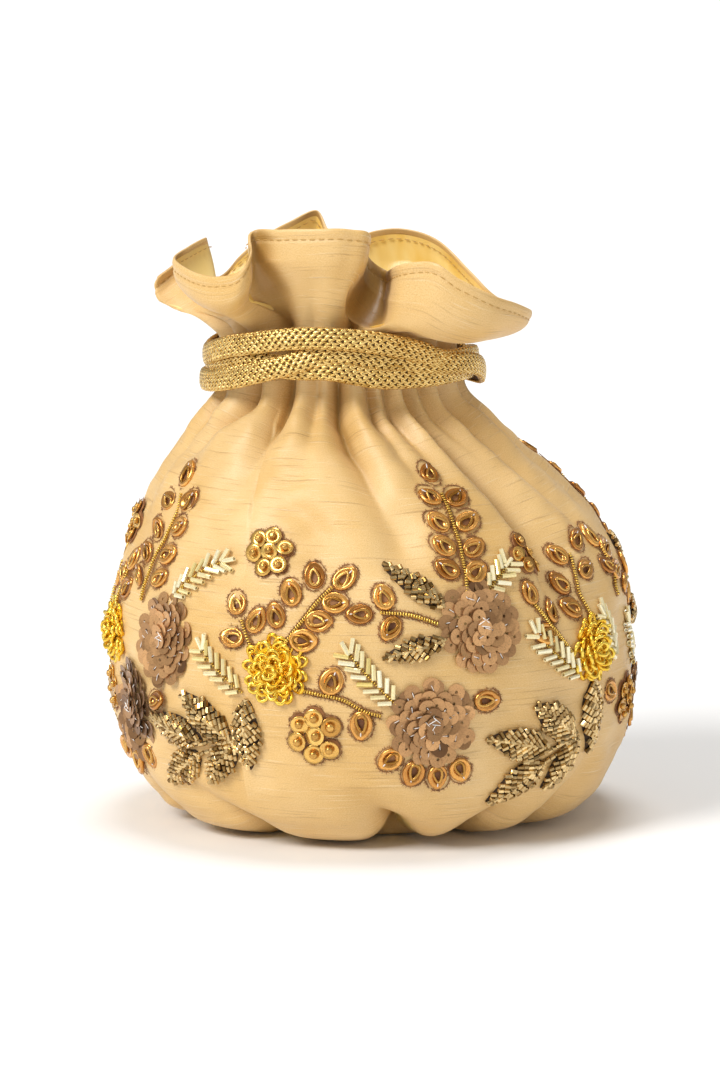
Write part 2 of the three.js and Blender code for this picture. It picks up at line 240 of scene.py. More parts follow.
def mesh_from(
    name: str, points: Array, faces: Iterable[Sequence[int]], smooth: bool = True
) -> bpy.types.Mesh:
    """Makes a mesh.

    Args:
        name: The mesh's name.
        points: Its points, in metres.
        faces: The point numbers of each face.
        smooth: True for rounded shading.

    Returns:
        The mesh.
    """
    mesh = bpy.data.meshes.new(name)
    listed = [tuple(int(i) for i in face) for face in faces]
    mesh.from_pydata([tuple(p) for p in np.asarray(points).reshape(-1, 3)], [], listed)
    mesh.polygons.foreach_set("use_smooth", [smooth] * len(mesh.polygons))
    mesh.update()
    return mesh


def object_from(mesh: bpy.types.Mesh, material: bpy.types.Material | None = None) -> bpy.types.Object:
    """Puts a mesh in the scene, at the origin.

    Args:
        mesh: The mesh.
        material: Its finish.

    Returns:
        The object.
    """
    piece = bpy.data.objects.new(mesh.name, mesh)
    bpy.context.scene.collection.objects.link(piece)
    if material is not None:
        mesh.materials.clear()
        mesh.materials.append(material)
    return piece


def write_uv(mesh: bpy.types.Mesh, coordinates: Array) -> None:
    """Gives a mesh a UV map.

    Args:
        mesh: The mesh.
        coordinates: Two numbers for each face corner.
    """
    layer = mesh.uv_layers.new(name="Cloth")
    layer.data.foreach_set("uv", np.ascontiguousarray(coordinates, dtype=np.float32).ravel())


def write_number(mesh: bpy.types.Mesh, name: str, values: Array) -> None:
    """Gives a mesh's points a number each.

    Args:
        mesh: The mesh.
        name: The attribute's name.
        values: One number for each point.
    """
    layer = mesh.attributes.new(name, "FLOAT", "POINT")
    layer.data.foreach_set("value", np.asarray(values, dtype=np.float32).ravel())


def keep(piece: bpy.types.Object, nodes: Sequence[str] = ()) -> bpy.types.Object:
    """Hands a finished piece over to the frame.

    Args:
        piece: The piece.
        nodes: The construction nodes that it stands for.

    Returns:
        The same piece.
    """
    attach(piece, "root")
    if nodes:
        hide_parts(*nodes)
    LOG.info("%s: %d triangles", piece.name, sum(len(face.vertices) - 2 for face in piece.data.polygons))
    return piece


# ---------------------------------------------------------------- the pouch's shape


@dataclass(frozen=True)
class Fold:
    """A groove in the cloth.

    Attributes:
        path: Rows of place along the cloth, direction in degrees and depth in millimetres.
        left: How far the groove reaches to the left of its bottom at each end, in millimetres.
        right: How far it reaches to the right at each end.
        roundness: 1 for a creased bottom, 2 for a round one.
    """

    path: tuple[tuple[float, float, float], ...]
    left: tuple[float, float] = (4.0, 9.0)
    right: tuple[float, float] = (4.0, 9.0)
    roundness: float = 1.5

    def depth(self, direction: Array, place: Array, radius: Array) -> Array:
        """Measures the groove.

        Args:
            direction: Directions round the bag, in degrees.
            place: Places along the path's first number.
            radius: The cloth's radius there, in millimetres.

        Returns:
            How deep the groove is at each point, in millimetres.
        """
        rows = np.array(sorted(self.path))
        middle = np.interp(place, rows[:, 0], rows[:, 1])
        deep = np.interp(place, rows[:, 0], rows[:, 2], left=rows[0, 2], right=rows[-1, 2])
        first, last = self.path[0][0], self.path[-1][0]
        share = np.clip((place - first) / (last - first), 0, 1)
        off = np.radians((direction - middle + 180) % 360 - 180) * radius
        near_left = self.left[0] + (self.left[1] - self.left[0]) * share
        near_right = self.right[0] + (self.right[1] - self.right[0]) * share
        reach = np.where(off < 0, near_left, near_right)
        return deep * np.exp(-((np.abs(off) / reach) ** self.roundness))


def body_folds() -> list[Fold]:
    """Lists the folds that run down from the neck.

    Returns:
        The folds, those of the front first.
    """
    folds = [
        Fold(((137, -42.7, 8), (131, -50, 7), (124.6, -62, 4.5), (110, -72, 0)), (3, 9), (3.2, 8)),
        Fold(((137, -26.6, 11), (130, -28, 8.5), (122, -31, 5), (100, -38, 0)), (2.6, 8), (3.2, 9)),
        Fold(((137, -12, 6), (130, -12, 4), (120, -14, 1.6), (108, -16, 0)), (2.4, 5), (3, 6)),
        Fold(
            ((137, -1.9, 11), (123, 0.8, 8.5), (117, 3.6, 6.4), (99, 7.2, 3.2), (80, 9, 0)), (3.2, 10),
            (3, 9)
        ),
        Fold(((137, 13.9, 9), (130, 15, 6.5), (124, 17, 4), (106, 21, 0)), (2.6, 6), (2.8, 7)),
        Fold(
            (
                (137, 33, 9), (121, 38, 12), (111, 40.5, 12), (102, 41.8, 10.5), (92, 43, 8),
                (82, 43.8, 4.5), (68, 44.5, 0)
            ),
            (1.6, 3.0), (8, 20), 1.5
        ),
        Fold(((137, 23, 9), (128, 25, 6.5), (118, 27.5, 3), (104, 30, 0)), (2.4, 5), (3, 8)),
        Fold(((137, 47, 7), (128, 49, 4), (118, 52, 1.6), (108, 55, 0)), (2.4, 5), (3, 7)),
        Fold(
            ((137, 58.8, 8), (126, 60, 6.5), (115, 64, 4.5), (100, 68, 2), (80, 70, 0)), (2.2, 7),
            (6, 18)
        ),
        Fold(((110, -14, 0), (98, -12, 2.2), (84, -8, 1.6), (70, -2, 0)), (10, 12), (7, 10), 2),
        Fold(((112, 14, 0), (104, 12, 1.8), (94, 8, 1.6), (84, 2, 0)), (6, 9), (7, 9), 2)
    ]
    hidden = (
        # direction at the neck, drift to the foot, depth, foot height
        (80, 8, 7, 96), (101, 3, 8, 112), (122, 9, 7, 88), (143, 4, 8, 108), (163, 6, 7, 100),
        (184, 2, 8, 84), (204, 7, 7, 110), (226, -3, 8, 98), (246, -8, 7, 90), (267, -9, 8, 104),
        (287, -7, 7, 96),
    )
    for direction, drift, deep, foot in hidden:
        path = (
            (137, direction, deep),
            (128, direction + drift * 0.3, deep * 0.68),
            ((128 + foot) / 2, direction + drift * 0.7, deep * 0.3),
            (foot, direction + drift, 0),
        )
        folds.append(Fold(path, (3.2, 10), (3.6, 14)))
    return folds


def base_folds() -> list[Fold]:
    """Lists the gathers between the lobes that the bag stands on.

    Returns:
        The gathers, from the left side round the front.
    """
    gathers = (
        # direction at the floor, lean to the foot, depth, height where it ends
        (-62, -12, 9, 20), (-28, -22, 9, 22), (8, -13, 13, 23), (26, 10, 13, 21), (47, 12, 8, 32),
        (78, 6, 9, 22), (104, -5, 9, 20), (133, 8, 10, 24), (163, -7, 9, 20), (194, 5, 10, 24),
        (224, -6, 9, 21), (254, 7, 10, 22), (278, -5, 9, 19),
    )
    folds = []
    for direction, lean, deep, top in gathers:
        path = (
            (0, direction, deep),
            (top * 0.25, direction + lean * 0.2, deep * 0.74),
            (top * 0.6, direction + lean * 0.6, deep * 0.28),
            (top, direction + lean, 0),
        )
        folds.append(Fold(path, (4.0, 9.0), (4.0, 9.0), 1.35))
    return folds


def ruffle_folds() -> list[Fold]:
    """Lists the folds that rise from the neck into the ruffle, by their length above it.

    Returns:
        The folds, those of the front first.
    """
    rises = (
        # direction, lean at the top, depth, length, reach to the left and right
        (-72, -4, 7, 26, 3.5, 4.5), (-54, -2, 6, 24, 4.0, 4.0), (-31, 3, 12, 30, 4.5, 6.0),
        (-13, -1, 3.5, 26, 4.0, 4.0), (5.8, 2, 10, 30, 4.0, 4.0), (24.7, 4, 9, 16, 3.5, 4.5),
        (44, 6, 6, 18, 4.0, 5.0), (62, 4, 6, 20, 4.0, 5.0), (82, 3, 8, 28, 4.0, 5.0),
        (102, 2, 7, 30, 4.0, 4.0), (123, -2, 8, 34, 4.0, 4.0), (143, 3, 7, 28, 4.0, 4.0),
        (164, -2, 8, 36, 4.0, 4.5), (184, 2, 7, 30, 4.0, 4.0), (205, 3, 8, 32, 4.0, 4.0),
        (226, -3, 7, 30, 4.0, 4.0), (246, 2, 8, 28, 4.0, 4.0), (267, 3, 7, 30, 4.0, 4.0),
    )
    folds = []
    for direction, lean, deep, length, left, right in rises:
        path = (
            (-20, direction, deep),
            (3, direction, deep),
            (length * 0.4, direction + lean * 0.5, deep * 0.6),
            (length, direction + lean, 0),
        )
        folds.append(Fold(path, (left, left * 1.6), (right, right * 1.6)))
    return folds


@dataclass
class PouchShape:
    """The cloth's shape, from the board in the base to the ruffle's edge.

    Attributes:
        depth_share: The body's front-to-back size over its width.
        neck_x: Where the neck's middle lies, in millimetres.
        neck_radius: The neck's radius outside its folds.
        neck_low: The height where the cord's band starts.
        cord_height: The height of the middle of the cord's band at the sides and back.
        cord_rise: How much higher the band is at the front.
        cord_to_ruffle: From the middle of the band to the foot of the ruffle.
        cloth_round: The cut length of cloth round the bag.
        girth_radius: The body's radius where it is widest, for the cloth's soft swell.
        frame_radius: The radius by which a short step round the body is turned into degrees.
        ruffle_rise: The usual length of the ruffle from the neck to its edge.
        ruffle_radius: The usual radius of the ruffle's foot.
        outline: The body's outline, without its folds.
        rim: The ruffle's edge.
        lips: How far the ruffle rises, flares and hangs.
        body_grooves: The folds below the neck.
        ruffle_grooves: The folds in the ruffle.
    """

    depth_share: float = 0.94
    neck_x: float = -9.7
    neck_radius: float = 40.0
    neck_low: float = 134.5
    cord_height: float = 142.5
    cord_rise: float = 3.0
    cord_to_ruffle: float = 9.0
    cloth_round: float = 523.0
    girth_radius: float = 82.0
    frame_radius: float = 80.0
    ruffle_rise: float = 42.0
    ruffle_radius: float = 44.0
    outline: tuple[tuple[float, float, float], ...] = (
        # height, half width, middle's x
        (0, 52, 0), (2.5, 63, 0), (8, 71.5, 0.8), (15, 76.2, 0.8), (27, 80, 0.5), (40, 81.9, 0),
        (53, 82.5, 0), (66, 81.6, 0), (78, 78.9, 0), (91, 74, -0.6), (104, 66.5, -3.4),
        (116, 57.3, -6.2), (126, 49.5, -8.2), (131, 45, -9.2), (134.5, 40.6, -9.7),
    )
    rim: tuple[tuple[float, float, float, float], ...] = (
        # direction of the neck below, then x, y and z
        (-29, -37, -32, 185), (-22, -28, -38, 186.5), (-14, -18, -43, 187), (-5, -7, -44, 187),
        (2, -0.6, -38, 184.5), (5, -1.9, -26, 180), (8, 0, -17, 175.5), (10, 4, -17, 172.5),
        (12, 5, -28, 173.5), (14, 6.5, -41, 175.5), (20, 15.8, -54, 178), (30, 26, -58, 173),
        (40, 36, -55, 168), (50, 43.3, -47, 165), (60, 48.3, -36, 162), (74, 45, -18, 161),
        (90, 38, 2, 164), (106, 31, 14, 170.5), (124, 21.4, 28, 179), (142, 10.8, 38, 182),
        (160, 0, 40, 181), (174, -8.8, 36, 178), (188, -14.2, 41, 182), (198, -17.7, 46, 187.5),
        (210, -27, 41, 184), (224, -36, 38, 179), (234, -42, 38, 174), (248, -49, 36, 167),
        (260, -58, 24, 165), (268, -66, 12, 166.5), (274, -68, 5, 168), (282, -63, 9, 172),
        (290, -58, 13, 176.5), (297, -52.8, 8, 181), (302, -57.5, -2, 179),
        (306, -61.5, -14, 176.5), (310, -57, -27, 174), (314, -50.5, -37, 172.5),
        (318, -44, -43, 173), (323, -39, -46, 175.5), (327, -36.5, -43, 180),
    )
    lips: tuple[tuple[float, float, float, float, float], ...] = (
        # direction, rise and flare where the ruffle leaves the neck, then how far the cloth
        # hangs below its edge and pushes out there
        (-28, 13, 3, 13, 2), (0, 13, 3, 12, 2), (8, 9, 5, 12, 0), (20, 1, 10, 18, 1),
        (35, -3, 13, 18, 2), (50, -3, 12, 12, 2), (62, 0, 11, 9, 0), (78, 6, 8, 8, 0),
        (100, 12, 4, 10, 2), (150, 13, 3, 12, 2), (210, 13, 3, 12, 2), (250, 10, 5, 10, 3),
        (275, 6, 8, 9, 3), (288, 9, 6, 12, 2), (297, 9, 4, 13, -5), (306, 9, 6, 12, 3),
        (318, 8, 7, 14, 4), (326, 11, 4, 13, 3),
    )
    body_grooves: list[Fold] = field(default_factory=lambda: body_folds() + base_folds())
    ruffle_grooves: list[Fold] = field(default_factory=ruffle_folds)

    def __post_init__(self) -> None:
        """Fits the shape's curves."""
        self.profile = Curve(self.outline)
        self.edge = Curve(self.rim, 360)
        self.lip = Curve(self.lips, 360)

    def plain(self, direction: Array, height: Array) -> Array:
        """Places points on the body without its folds.

        Args:
            direction: Directions round the bag, in degrees.
            height: Heights in millimetres.

        Returns:
            The points, in millimetres.
        """
        direction, height = np.broadcast_arrays(direction, height)
        angle = np.radians(direction)
        outline = self.profile(height)
        x = outline[..., 1] + outline[..., 0] * np.sin(angle)
        y = -self.depth_share * outline[..., 0] * np.cos(angle)
        return np.stack([x, y, height], axis=-1)

    def plain_normal(self, direction: Array, height: Array) -> Array:
        """Returns the outward normals of the body without its folds.

        Args:
            direction: Degrees round the bag.
            height: Millimetres above the floor.

        Returns:
            Vectors of length one.
        """
        step = 0.4
        low = np.maximum(height - step, 0)
        along = self.plain(direction + step, height) - self.plain(direction - step, height)
        upward = self.plain(direction, height + step) - self.plain(direction, low)
        return unit(np.cross(along, upward))

    def swell(self, direction: Array, height: Array) -> Array:
        """Measures how far the folded body stands out from the plain one.

        Args:
            direction: Directions round the bag, in degrees.
            height: Heights in millimetres.

        Returns:
            The distance along the outward normal, in millimetres.
        """
        direction, height = np.broadcast_arrays(direction, height)
        radius = self.profile(height)[..., 0]
        total = np.zeros(height.shape)
        for fold in self.body_grooves:
            total -= fold.depth(direction, height, radius)
        around = np.radians(direction) * self.girth_radius
        free = smooth_step(height, 6, 30)
        wrapped = np.cos(np.radians(direction) * 3) * 0.4 + np.cos(np.radians(direction) * 5 + 1) * 0.3
        soft = (
            0.45 * ripple(around, height, 34, SEED) + 0.22 * ripple(around, height * 1.6, 15, SEED + 1)
        )
        seam_free = smooth_step(np.abs((direction % 360) - 180), 178, 164)
        return total + free * (wrapped + soft * seam_free)

    def body(self, direction: Array, height: Array) -> Array:
        """Places points on the folded body.

        Args:
            direction: Directions round the bag, in degrees.
            height: Heights in millimetres.

        Returns:
            The points, in millimetres.
        """
        direction, height = matched(direction, height)
        out = self.plain_normal(direction, height)
        points = self.plain(direction, height) + out * self.swell(direction, height)[..., None]
        points[..., 2] = np.maximum(points[..., 2], 0.05)
        return points

    def body_frame(self, direction: Array, height: Array) -> tuple[Array, Array, Array, Array]:
        """Places points on the folded body, each with its axes.

        Args:
            direction: Directions round the bag, in degrees.
            height: Heights in millimetres.

        Returns:
            The points, and the rightward, upward and outward directions there.
        """
        direction, height = matched(direction, height)
        step = 1.2
        turn = np.degrees(step / self.frame_radius)
        right = unit(self.body(direction + turn, height) - self.body(direction - turn, height))
        upward = self.body(direction, height + step) - self.body(direction, np.maximum(height - step, 0))
        out = unit(np.cross(right, upward))
        return self.body(direction, height), right, np.cross(out, right), out

    def band(self, direction: Array) -> Array:
        """Returns the height of the middle of the cord's band."""
        return self.cord_height + self.cord_rise * np.maximum(0, np.cos(np.radians(direction)))

    def neck(self, direction: Array, share: Array) -> Array:
        """Places points on the neck, which the cord covers.

        Args:
            direction: Directions round the neck, in degrees.
            share: 0 at the neck's foot and 1 at its top.

        Returns:
            The points, in millimetres.
        """
        direction, share = matched(direction, share)
        angle = np.radians(direction)
        low = np.zeros(share.shape)
        high = np.zeros(share.shape)
        for fold in self.body_grooves:
            low += fold.depth(direction, np.full(share.shape, self.neck_low), self.neck_radius)
        for fold in self.ruffle_grooves:
            high += fold.depth(direction, np.zeros(share.shape), self.neck_radius)
        blend = smooth_step(share, 0.15, 0.85)
        radius = self.neck_radius - low * (1 - blend) - high * blend
        deep = self.depth_share + (1 - self.depth_share) * smooth_step(share, 0, 0.5)
        top = self.band(direction) + self.cord_to_ruffle
        x = self.neck_x + radius * np.sin(angle)
        y = -deep * radius * np.cos(angle)
        return np.stack([x, y, self.neck_low + (top - self.neck_low) * share], axis=-1)

    def ruffle(self, direction: Array, share: Array) -> Array:
        """Places points on the ruffle.

        Args:
            direction: Directions round the neck, in degrees, as a row.
            share: 0 at the neck's top and 1 at the ruffle's edge, as a column.

        Returns:
            The points, in millimetres.
        """
        direction, share = matched(direction, share)
        angle = np.radians(direction)
        outward = np.stack([np.sin(angle), -np.cos(angle), np.zeros(angle.shape)], axis=-1)
        foot = outward * self.neck_radius
        foot[..., 0] += self.neck_x
        foot[..., 2] = self.band(direction) + self.cord_to_ruffle
        edge = self.edge(direction)
        lip = self.lip(direction)
        first = foot + outward * lip[..., 1:2] + UP * lip[..., 0:1]
        second = edge + outward * lip[..., 3:4] - UP * lip[..., 2:3]
        t = share[..., None]
        smooth = (
            foot * (1 - t) ** 3 + first * 3 * t * (1 - t) ** 2 + second * 3 * t**2 * (1 - t)
            + edge * t**3
        )
        deep = np.zeros(share.shape)
        above = share * self.ruffle_rise
        for fold in self.ruffle_grooves:
            deep += fold.depth(direction, above, self.ruffle_radius)
        inward = (
            outward * (1 - smooth_step(share, 0, 0.5))[..., None]
            + self._across(smooth) * smooth_step(share, 0, 0.5)[..., None]
        )
        return smooth - unit(inward) * deep[..., None]

    @staticmethod
    def _across(grid: Array) -> Array:
        """Returns the outward normals of a grid whose rows go round and rise.

        Args:
            grid: Points, in rows and columns.

        Returns:
            Vectors of length one.
        """
        if grid.ndim < 3 or grid.shape[0] < 2:
            return np.zeros(grid.shape)
        along = np.roll(grid, -1, axis=1) - np.roll(grid, 1, axis=1)
        upward = np.gradient(grid, axis=0)
        return unit(np.cross(along, upward))


class ClothGrid:
    """The sleeve of cloth as rows of points, from the board's edge to the ruffle's edge."""

    def __init__(
        self, shape: PouchShape, columns: int, body_rows: int, neck_rows: int, ruffle_rows: int
    ) -> None:
        """Lays the grid out.

        Args:
            shape: The pouch's shape.
            columns: Points in each row.
            body_rows: Rows below the neck.
            neck_rows: Rows under the cord.
            ruffle_rows: Rows above the neck.
        """
        self.shape = shape
        self.direction = self._spread(columns)
        heights = self._heights(body_rows)
        body = shape.body(self.direction[None, :], heights[:, None])
        neck = shape.neck(self.direction[None, :], np.linspace(0, 1, neck_rows + 1)[1:, None])
        ruffle = shape.ruffle(self.direction[None, :], np.linspace(0, 1, ruffle_rows + 1)[1:, None])
        self.points = np.concatenate([body, neck, ruffle])
        self.body_rows = body_rows
        self.neck_rows = neck_rows
        self.ruffle_rows = ruffle_rows
        self._settle(body_rows, neck_rows)

    def _spread(self, columns: int) -> Array:
        """Chooses the columns' directions, closer where the ruffle's edge is long.

        Args:
            columns: How many columns go round.

        Returns:
            The directions, in degrees.
        """
        start = -30
        fine = np.linspace(start, start + 360, 2881)
        edge = self.shape.edge(fine)
        length = run_along(edge)
        weight = 0.5 * (fine - start) / 360 + 0.5 * length / length[-1]
        return np.interp(np.arange(columns) / columns, weight, fine)

    def _heights(self, rows: int) -> Array:
        """Chooses the body rows' heights, evenly along the cloth.

        Args:
            rows: How many rows the body has.

        Returns:
            The heights, in millimetres.
        """
        fine = np.linspace(0, self.shape.neck_low, 1200)
        outline = self.shape.profile(fine)[:, 0]
        length = np.concatenate([[0], np.cumsum(np.hypot(np.diff(fine), np.diff(outline)))])
        return np.interp(np.linspace(0, length[-1], rows), length, fine)

    def _settle(self, body_rows: int, neck_rows: int) -> None:
        """Rounds the corners where the body meets the neck and the neck the ruffle.

        Args:
            body_rows: How many rows the body has.
            neck_rows: How many rows the neck has.
        """
        for _ in range(5):
            for middle in (body_rows - 1, body_rows + neck_rows - 1):
                rows = slice(middle - 5, middle + 6)
                part = self.points[rows]
                eased = part.copy()
                eased[1:-1] = (part[:-2] + 2 * part[1:-1] + part[2:]) / 4
                self.points[rows] = eased

    def normals(self) -> Array:
        """Returns the outward normal at every point.

        Returns:
            Vectors of length one, in rows and columns.
        """
        along = np.roll(self.points, -1, axis=1) - np.roll(self.points, 1, axis=1)
        upward = np.gradient(self.points, axis=0)
        return unit(np.cross(along, upward))

    def cloth_uv(self, rows: Array) -> Array:
        """Returns where each point lay on the flat cloth, in centimetres.

        Args:
            rows: The grid's points, one row after another.

        Returns:
            Two numbers for each point, with one more column for the seam.
        """
        step = np.linalg.norm(np.diff(rows, axis=0), axis=2).mean(axis=1)
        along = np.concatenate([[0], np.cumsum(step)]) / 10
        turned = np.append(self.direction, self.direction[0] + 360)
        around = (turned + 30) / 360 * self.shape.cloth_round / 10
        return np.stack(np.meshgrid(around, along), axis=-1)


def corner_uv(uv: Array, rows: int, columns: int) -> Array:
    """Spreads a grid's UV over its faces' corners, so that the seam doesn't fold back.

    Args:
        uv: Coordinates of each point, with one more column than the grid.
        rows: The grid's rows.
        columns: The grid's columns.

    Returns:
        Coordinates for each face corner, in the order of grid_faces.
    """
    r, c = np.meshgrid(np.arange(rows - 1), np.arange(columns), indexing="ij")
    corners = [uv[r, c], uv[r, c + 1], uv[r + 1, c + 1], uv[r + 1, c]]
    return np.stack(corners, axis=-2).reshape(-1, 2)


# ---------------------------------------------------------------- finishes

Colour = tuple[float, float, float]


class Recipe:
    """Builds one finish's node tree."""

    def __init__(self, name: str, **surface: float | Colour) -> None:
        """Starts a finish.

        Args:
            name: The material's name.
            surface: Values for the shader's own inputs, by their names with _ for a space.
        """
        self.material = bpy.data.materials.new(name)
        self.material.use_nodes = True
        self.tree = self.material.node_tree
        self.shader = self.tree.nodes["Principled BSDF"]
        for label, value in surface.items():
            socket = self.shader.inputs[label.replace("_", " ")]
            socket.default_value = (*value, 1.0) if isinstance(value, tuple) else value

    def node(self, kind: str, settings: dict | None = None, **links: object) -> bpy.types.Node:
        """Adds a node.

        Args:
            kind: The node's type.
            settings: Values for the node's own settings.
            links: Sockets to join, or values to set, by input name with _ for a space.

        Returns:
            The node.
        """
        made = self.tree.nodes.new(kind)
        for label, value in (settings or {}).items():
            setattr(made, label, value)
        for label, value in links.items():
            socket = made.inputs[label.replace("_", " ")]
            if isinstance(value, bpy.types.NodeSocket):
                self.tree.links.new(value, socket)
            else:
                socket.default_value = value
        return made

    def join(self, output: bpy.types.NodeSocket, label: str) -> None:
        """Joins an output to one of the shader's inputs."""
        self.tree.links.new(output, self.shader.inputs[label])

    def cloth_place(self, across: float, along: float) -> bpy.types.NodeSocket:
        """Reads the cloth's own coordinates.

        Args:
            across: How many times a pattern repeats in a centimetre round the cloth.
            along: How many times it repeats in a centimetre up the cloth.

        Returns:
            The stretched coordinates.
        """
        uv = self.node("ShaderNodeUVMap", {"uv_map": "Cloth"})
        mapping = self.node("ShaderNodeMapping", Vector=uv.outputs["UV"], Scale=(across, along, 1))
        return mapping.outputs["Vector"]

    def noise(
        self, place: bpy.types.NodeSocket, scale: float = 1, detail: float = 2
    ) -> bpy.types.NodeSocket:
        """Returns a noise read at a place."""
        made = self.node("ShaderNodeTexNoise", Vector=place, Scale=scale, Detail=detail)
        return made.outputs["Fac"]

    def between(self, value: bpy.types.NodeSocket, low: float, high: float) -> bpy.types.NodeSocket:
        """Returns a value stretched so that low becomes 0 and high becomes 1."""
        made = self.node("ShaderNodeMapRange", Value=value, From_Min=low, From_Max=high)
        return made.outputs["Result"]

    def maths(self, operation: str, first: object, second: object) -> bpy.types.NodeSocket:
        """Works out one sum of two numbers or sockets.

        Args:
            operation: The sum's name.
            first: The first number or socket.
            second: The second.

        Returns:
            The result.
        """
        made = self.node("ShaderNodeMath", {"operation": operation})
        for socket, value in zip(made.inputs, (first, second)):
            if isinstance(value, bpy.types.NodeSocket):
                self.tree.links.new(value, socket)
            else:
                socket.default_value = value
        return made.outputs["Value"]

    def blend(self, share: object, first: object, second: object) -> bpy.types.NodeSocket:
        """Mixes two colours.

        Args:
            share: How much of the second, as a number or a socket.
            first: The first colour or its socket.
            second: The second colour or its socket.

        Returns:
            The mixed colour.
        """
        made = self.node("ShaderNodeMix", {"data_type": "RGBA"})
        for socket, value in (
            (made.inputs[0], share), (made.inputs[6], first), (made.inputs[7], second)
        ):
            if isinstance(value, bpy.types.NodeSocket):
                self.tree.links.new(value, socket)
            else:
                socket.default_value = (*value, 1.0) if isinstance(value, tuple) else value
        return made.outputs[2]

    def attribute(self, name: str) -> bpy.types.NodeSocket:
        """Returns a number that the mesh carries."""
        made = self.node("ShaderNodeAttribute", {"attribute_name": name, "attribute_type": "GEOMETRY"})
        return made.outputs["Fac"]

    def bump(self, height: bpy.types.NodeSocket, distance: float, strength: float = 1.0) -> None:
        """Gives the surface a fine relief.

        Args:
            height: The relief, from 0 to 1.
            distance: Its depth in metres.
            strength: How strongly it shows.
        """
        made = self.node("ShaderNodeBump", Height=height, Distance=distance, Strength=strength)
        self.join(made.outputs["Normal"], "Normal")


@dataclass(frozen=True)
class RawSilk:
    """Slubbed raw silk with a soft sheen, with painted shade darkening its colour inside its folds.

    Attributes:
        pale: The silk's paler patches.
        full: Its fuller patches.
        fold: The painted shade deep in a fold, also mixed into the darker flecks of its grain.
        slub: Its thick threads.
        bright: The threads that catch the light.
    """

    pale: Colour = (0.78, 0.525, 0.225)
    full: Colour = (0.70, 0.43, 0.14)
    fold: Colour = (0.38, 0.20, 0.04)
    slub: Colour = (0.36, 0.19, 0.06)
    bright: Colour = (0.90, 0.72, 0.44)

    def make(self) -> bpy.types.Material:
        """Builds the finish.

        Returns:
            The material.
        """
        r = Recipe("raw_silk", Roughness=0.42, Anisotropic=0.3, Sheen_Weight=0.08, Sheen_Roughness=0.4)
        cloud = r.between(r.noise(r.cloth_place(0.3, 0.3), detail=3), 0.35, 0.65)
        long_slub = r.between(r.noise(r.cloth_place(0.35, 13), detail=2.5), 0.60, 0.74)
        short_slub = r.between(r.noise(r.cloth_place(1.1, 21), detail=2), 0.66, 0.80)
        light_slub = r.between(r.noise(r.cloth_place(0.5, 15.7), detail=2), 0.60, 0.78)
        weft = r.noise(r.cloth_place(3, 46), detail=1)
        warp = r.noise(r.cloth_place(40, 4), detail=1)
        grain = r.noise(r.cloth_place(26, 30), detail=3)
        colour = r.blend(cloud, self.full, self.pale)
        colour = r.blend(r.maths("MULTIPLY", light_slub, 0.55), colour, self.bright)
        colour = r.blend(r.maths("MULTIPLY", r.between(grain, 0.5, 0.75), 0.34), colour, self.bright)
        colour = r.blend(r.maths("MULTIPLY", r.between(grain, 0.5, 0.28), 0.30), colour, self.fold)
        colour = r.blend(r.maths("MULTIPLY", long_slub, 0.42), colour, self.slub)
        colour = r.blend(r.maths("MULTIPLY", short_slub, 0.5), colour, self.slub)
        # painted shade: the colour is blended towards the fold colour as far as the groove attribute
        # says a point sinks into a fold
        colour = r.blend(r.attribute("groove"), colour, self.fold)
        r.join(colour, "Base Color")
        threads = r.maths("ADD", r.maths("MULTIPLY", weft, 0.30), r.maths("MULTIPLY", warp, 0.22))
        slubs = r.maths("ADD", r.maths("MULTIPLY", long_slub, 0.5), r.maths("MULTIPLY", light_slub, 0.4))
        height = r.maths("ADD", r.maths("ADD", threads, slubs), r.maths("MULTIPLY", grain, 0.3))
        r.bump(height, 0.00022, 0.75)
        return r.material


@dataclass(frozen=True)
class Satin:
    """Smooth gold satin, as the lining is.

    Attributes:
        full: The satin's fuller patches.
        pale: Its paler patches.
    """

    full: Colour = (0.80, 0.50, 0.085)
    pale: Colour = (0.92, 0.70, 0.27)

    def make(self) -> bpy.types.Material:
        """Builds the finish.

        Returns:
            The material.
        """
        r = Recipe("gold_satin", Roughness=0.3, Anisotropic=0.5, Sheen_Weight=0.1)
        cloud = r.between(r.noise(r.cloth_place(0.5, 0.5)), 0.3, 0.7)
        threads = r.noise(r.cloth_place(60, 3), detail=1)
        r.join(r.blend(cloud, self.full, self.pale), "Base Color")
        r.bump(threads, 0.00006, 0.6)
        return r.material


@dataclass(frozen=True)
class Tinted:
    """A bead, sequin or thread finish that runs between two colours from piece to piece.

    Attributes:
        name: The material's name.
        dark: The colour of the darkest pieces.
        light: The colour of the lightest pieces.
        roughness: The surface's roughness.
        metallic: How metallic it is.
        coat: How much clear coat it has.
        grain: The depth of its fine relief, in metres.
        grain_size: How many grains there are in a metre.
    """

    name: str
    dark: Colour
    light: Colour
    roughness: float
    metallic: float = 0.0
    coat: float = 0.0
    grain: float = 0.00003
    grain_size: float = 2500.0

    def make(self) -> bpy.types.Material:
        """Builds the finish.

        Returns:
            The material.
        """
        r = Recipe(self.name, Metallic=self.metallic, Coat_Weight=self.coat, Coat_Roughness=0.06)
        place = r.node("ShaderNodeTexCoord").outputs["Object"]
        speck = r.noise(place, self.grain_size, 2)
        colour = r.blend(r.attribute("tint"), self.dark, self.light)
        shade = tuple(0.6 * part for part in self.dark)
        colour = r.blend(r.maths("MULTIPLY", r.between(speck, 0.55, 0.3), 0.35), colour, shade)
        r.join(colour, "Base Color")
        spread = r.maths("MULTIPLY", r.noise(place, self.grain_size * 0.25, 1), 0.16)
        r.join(r.maths("ADD", spread, self.roughness - 0.08), "Roughness")
        r.bump(speck, self.grain, 0.6)
        return r.material


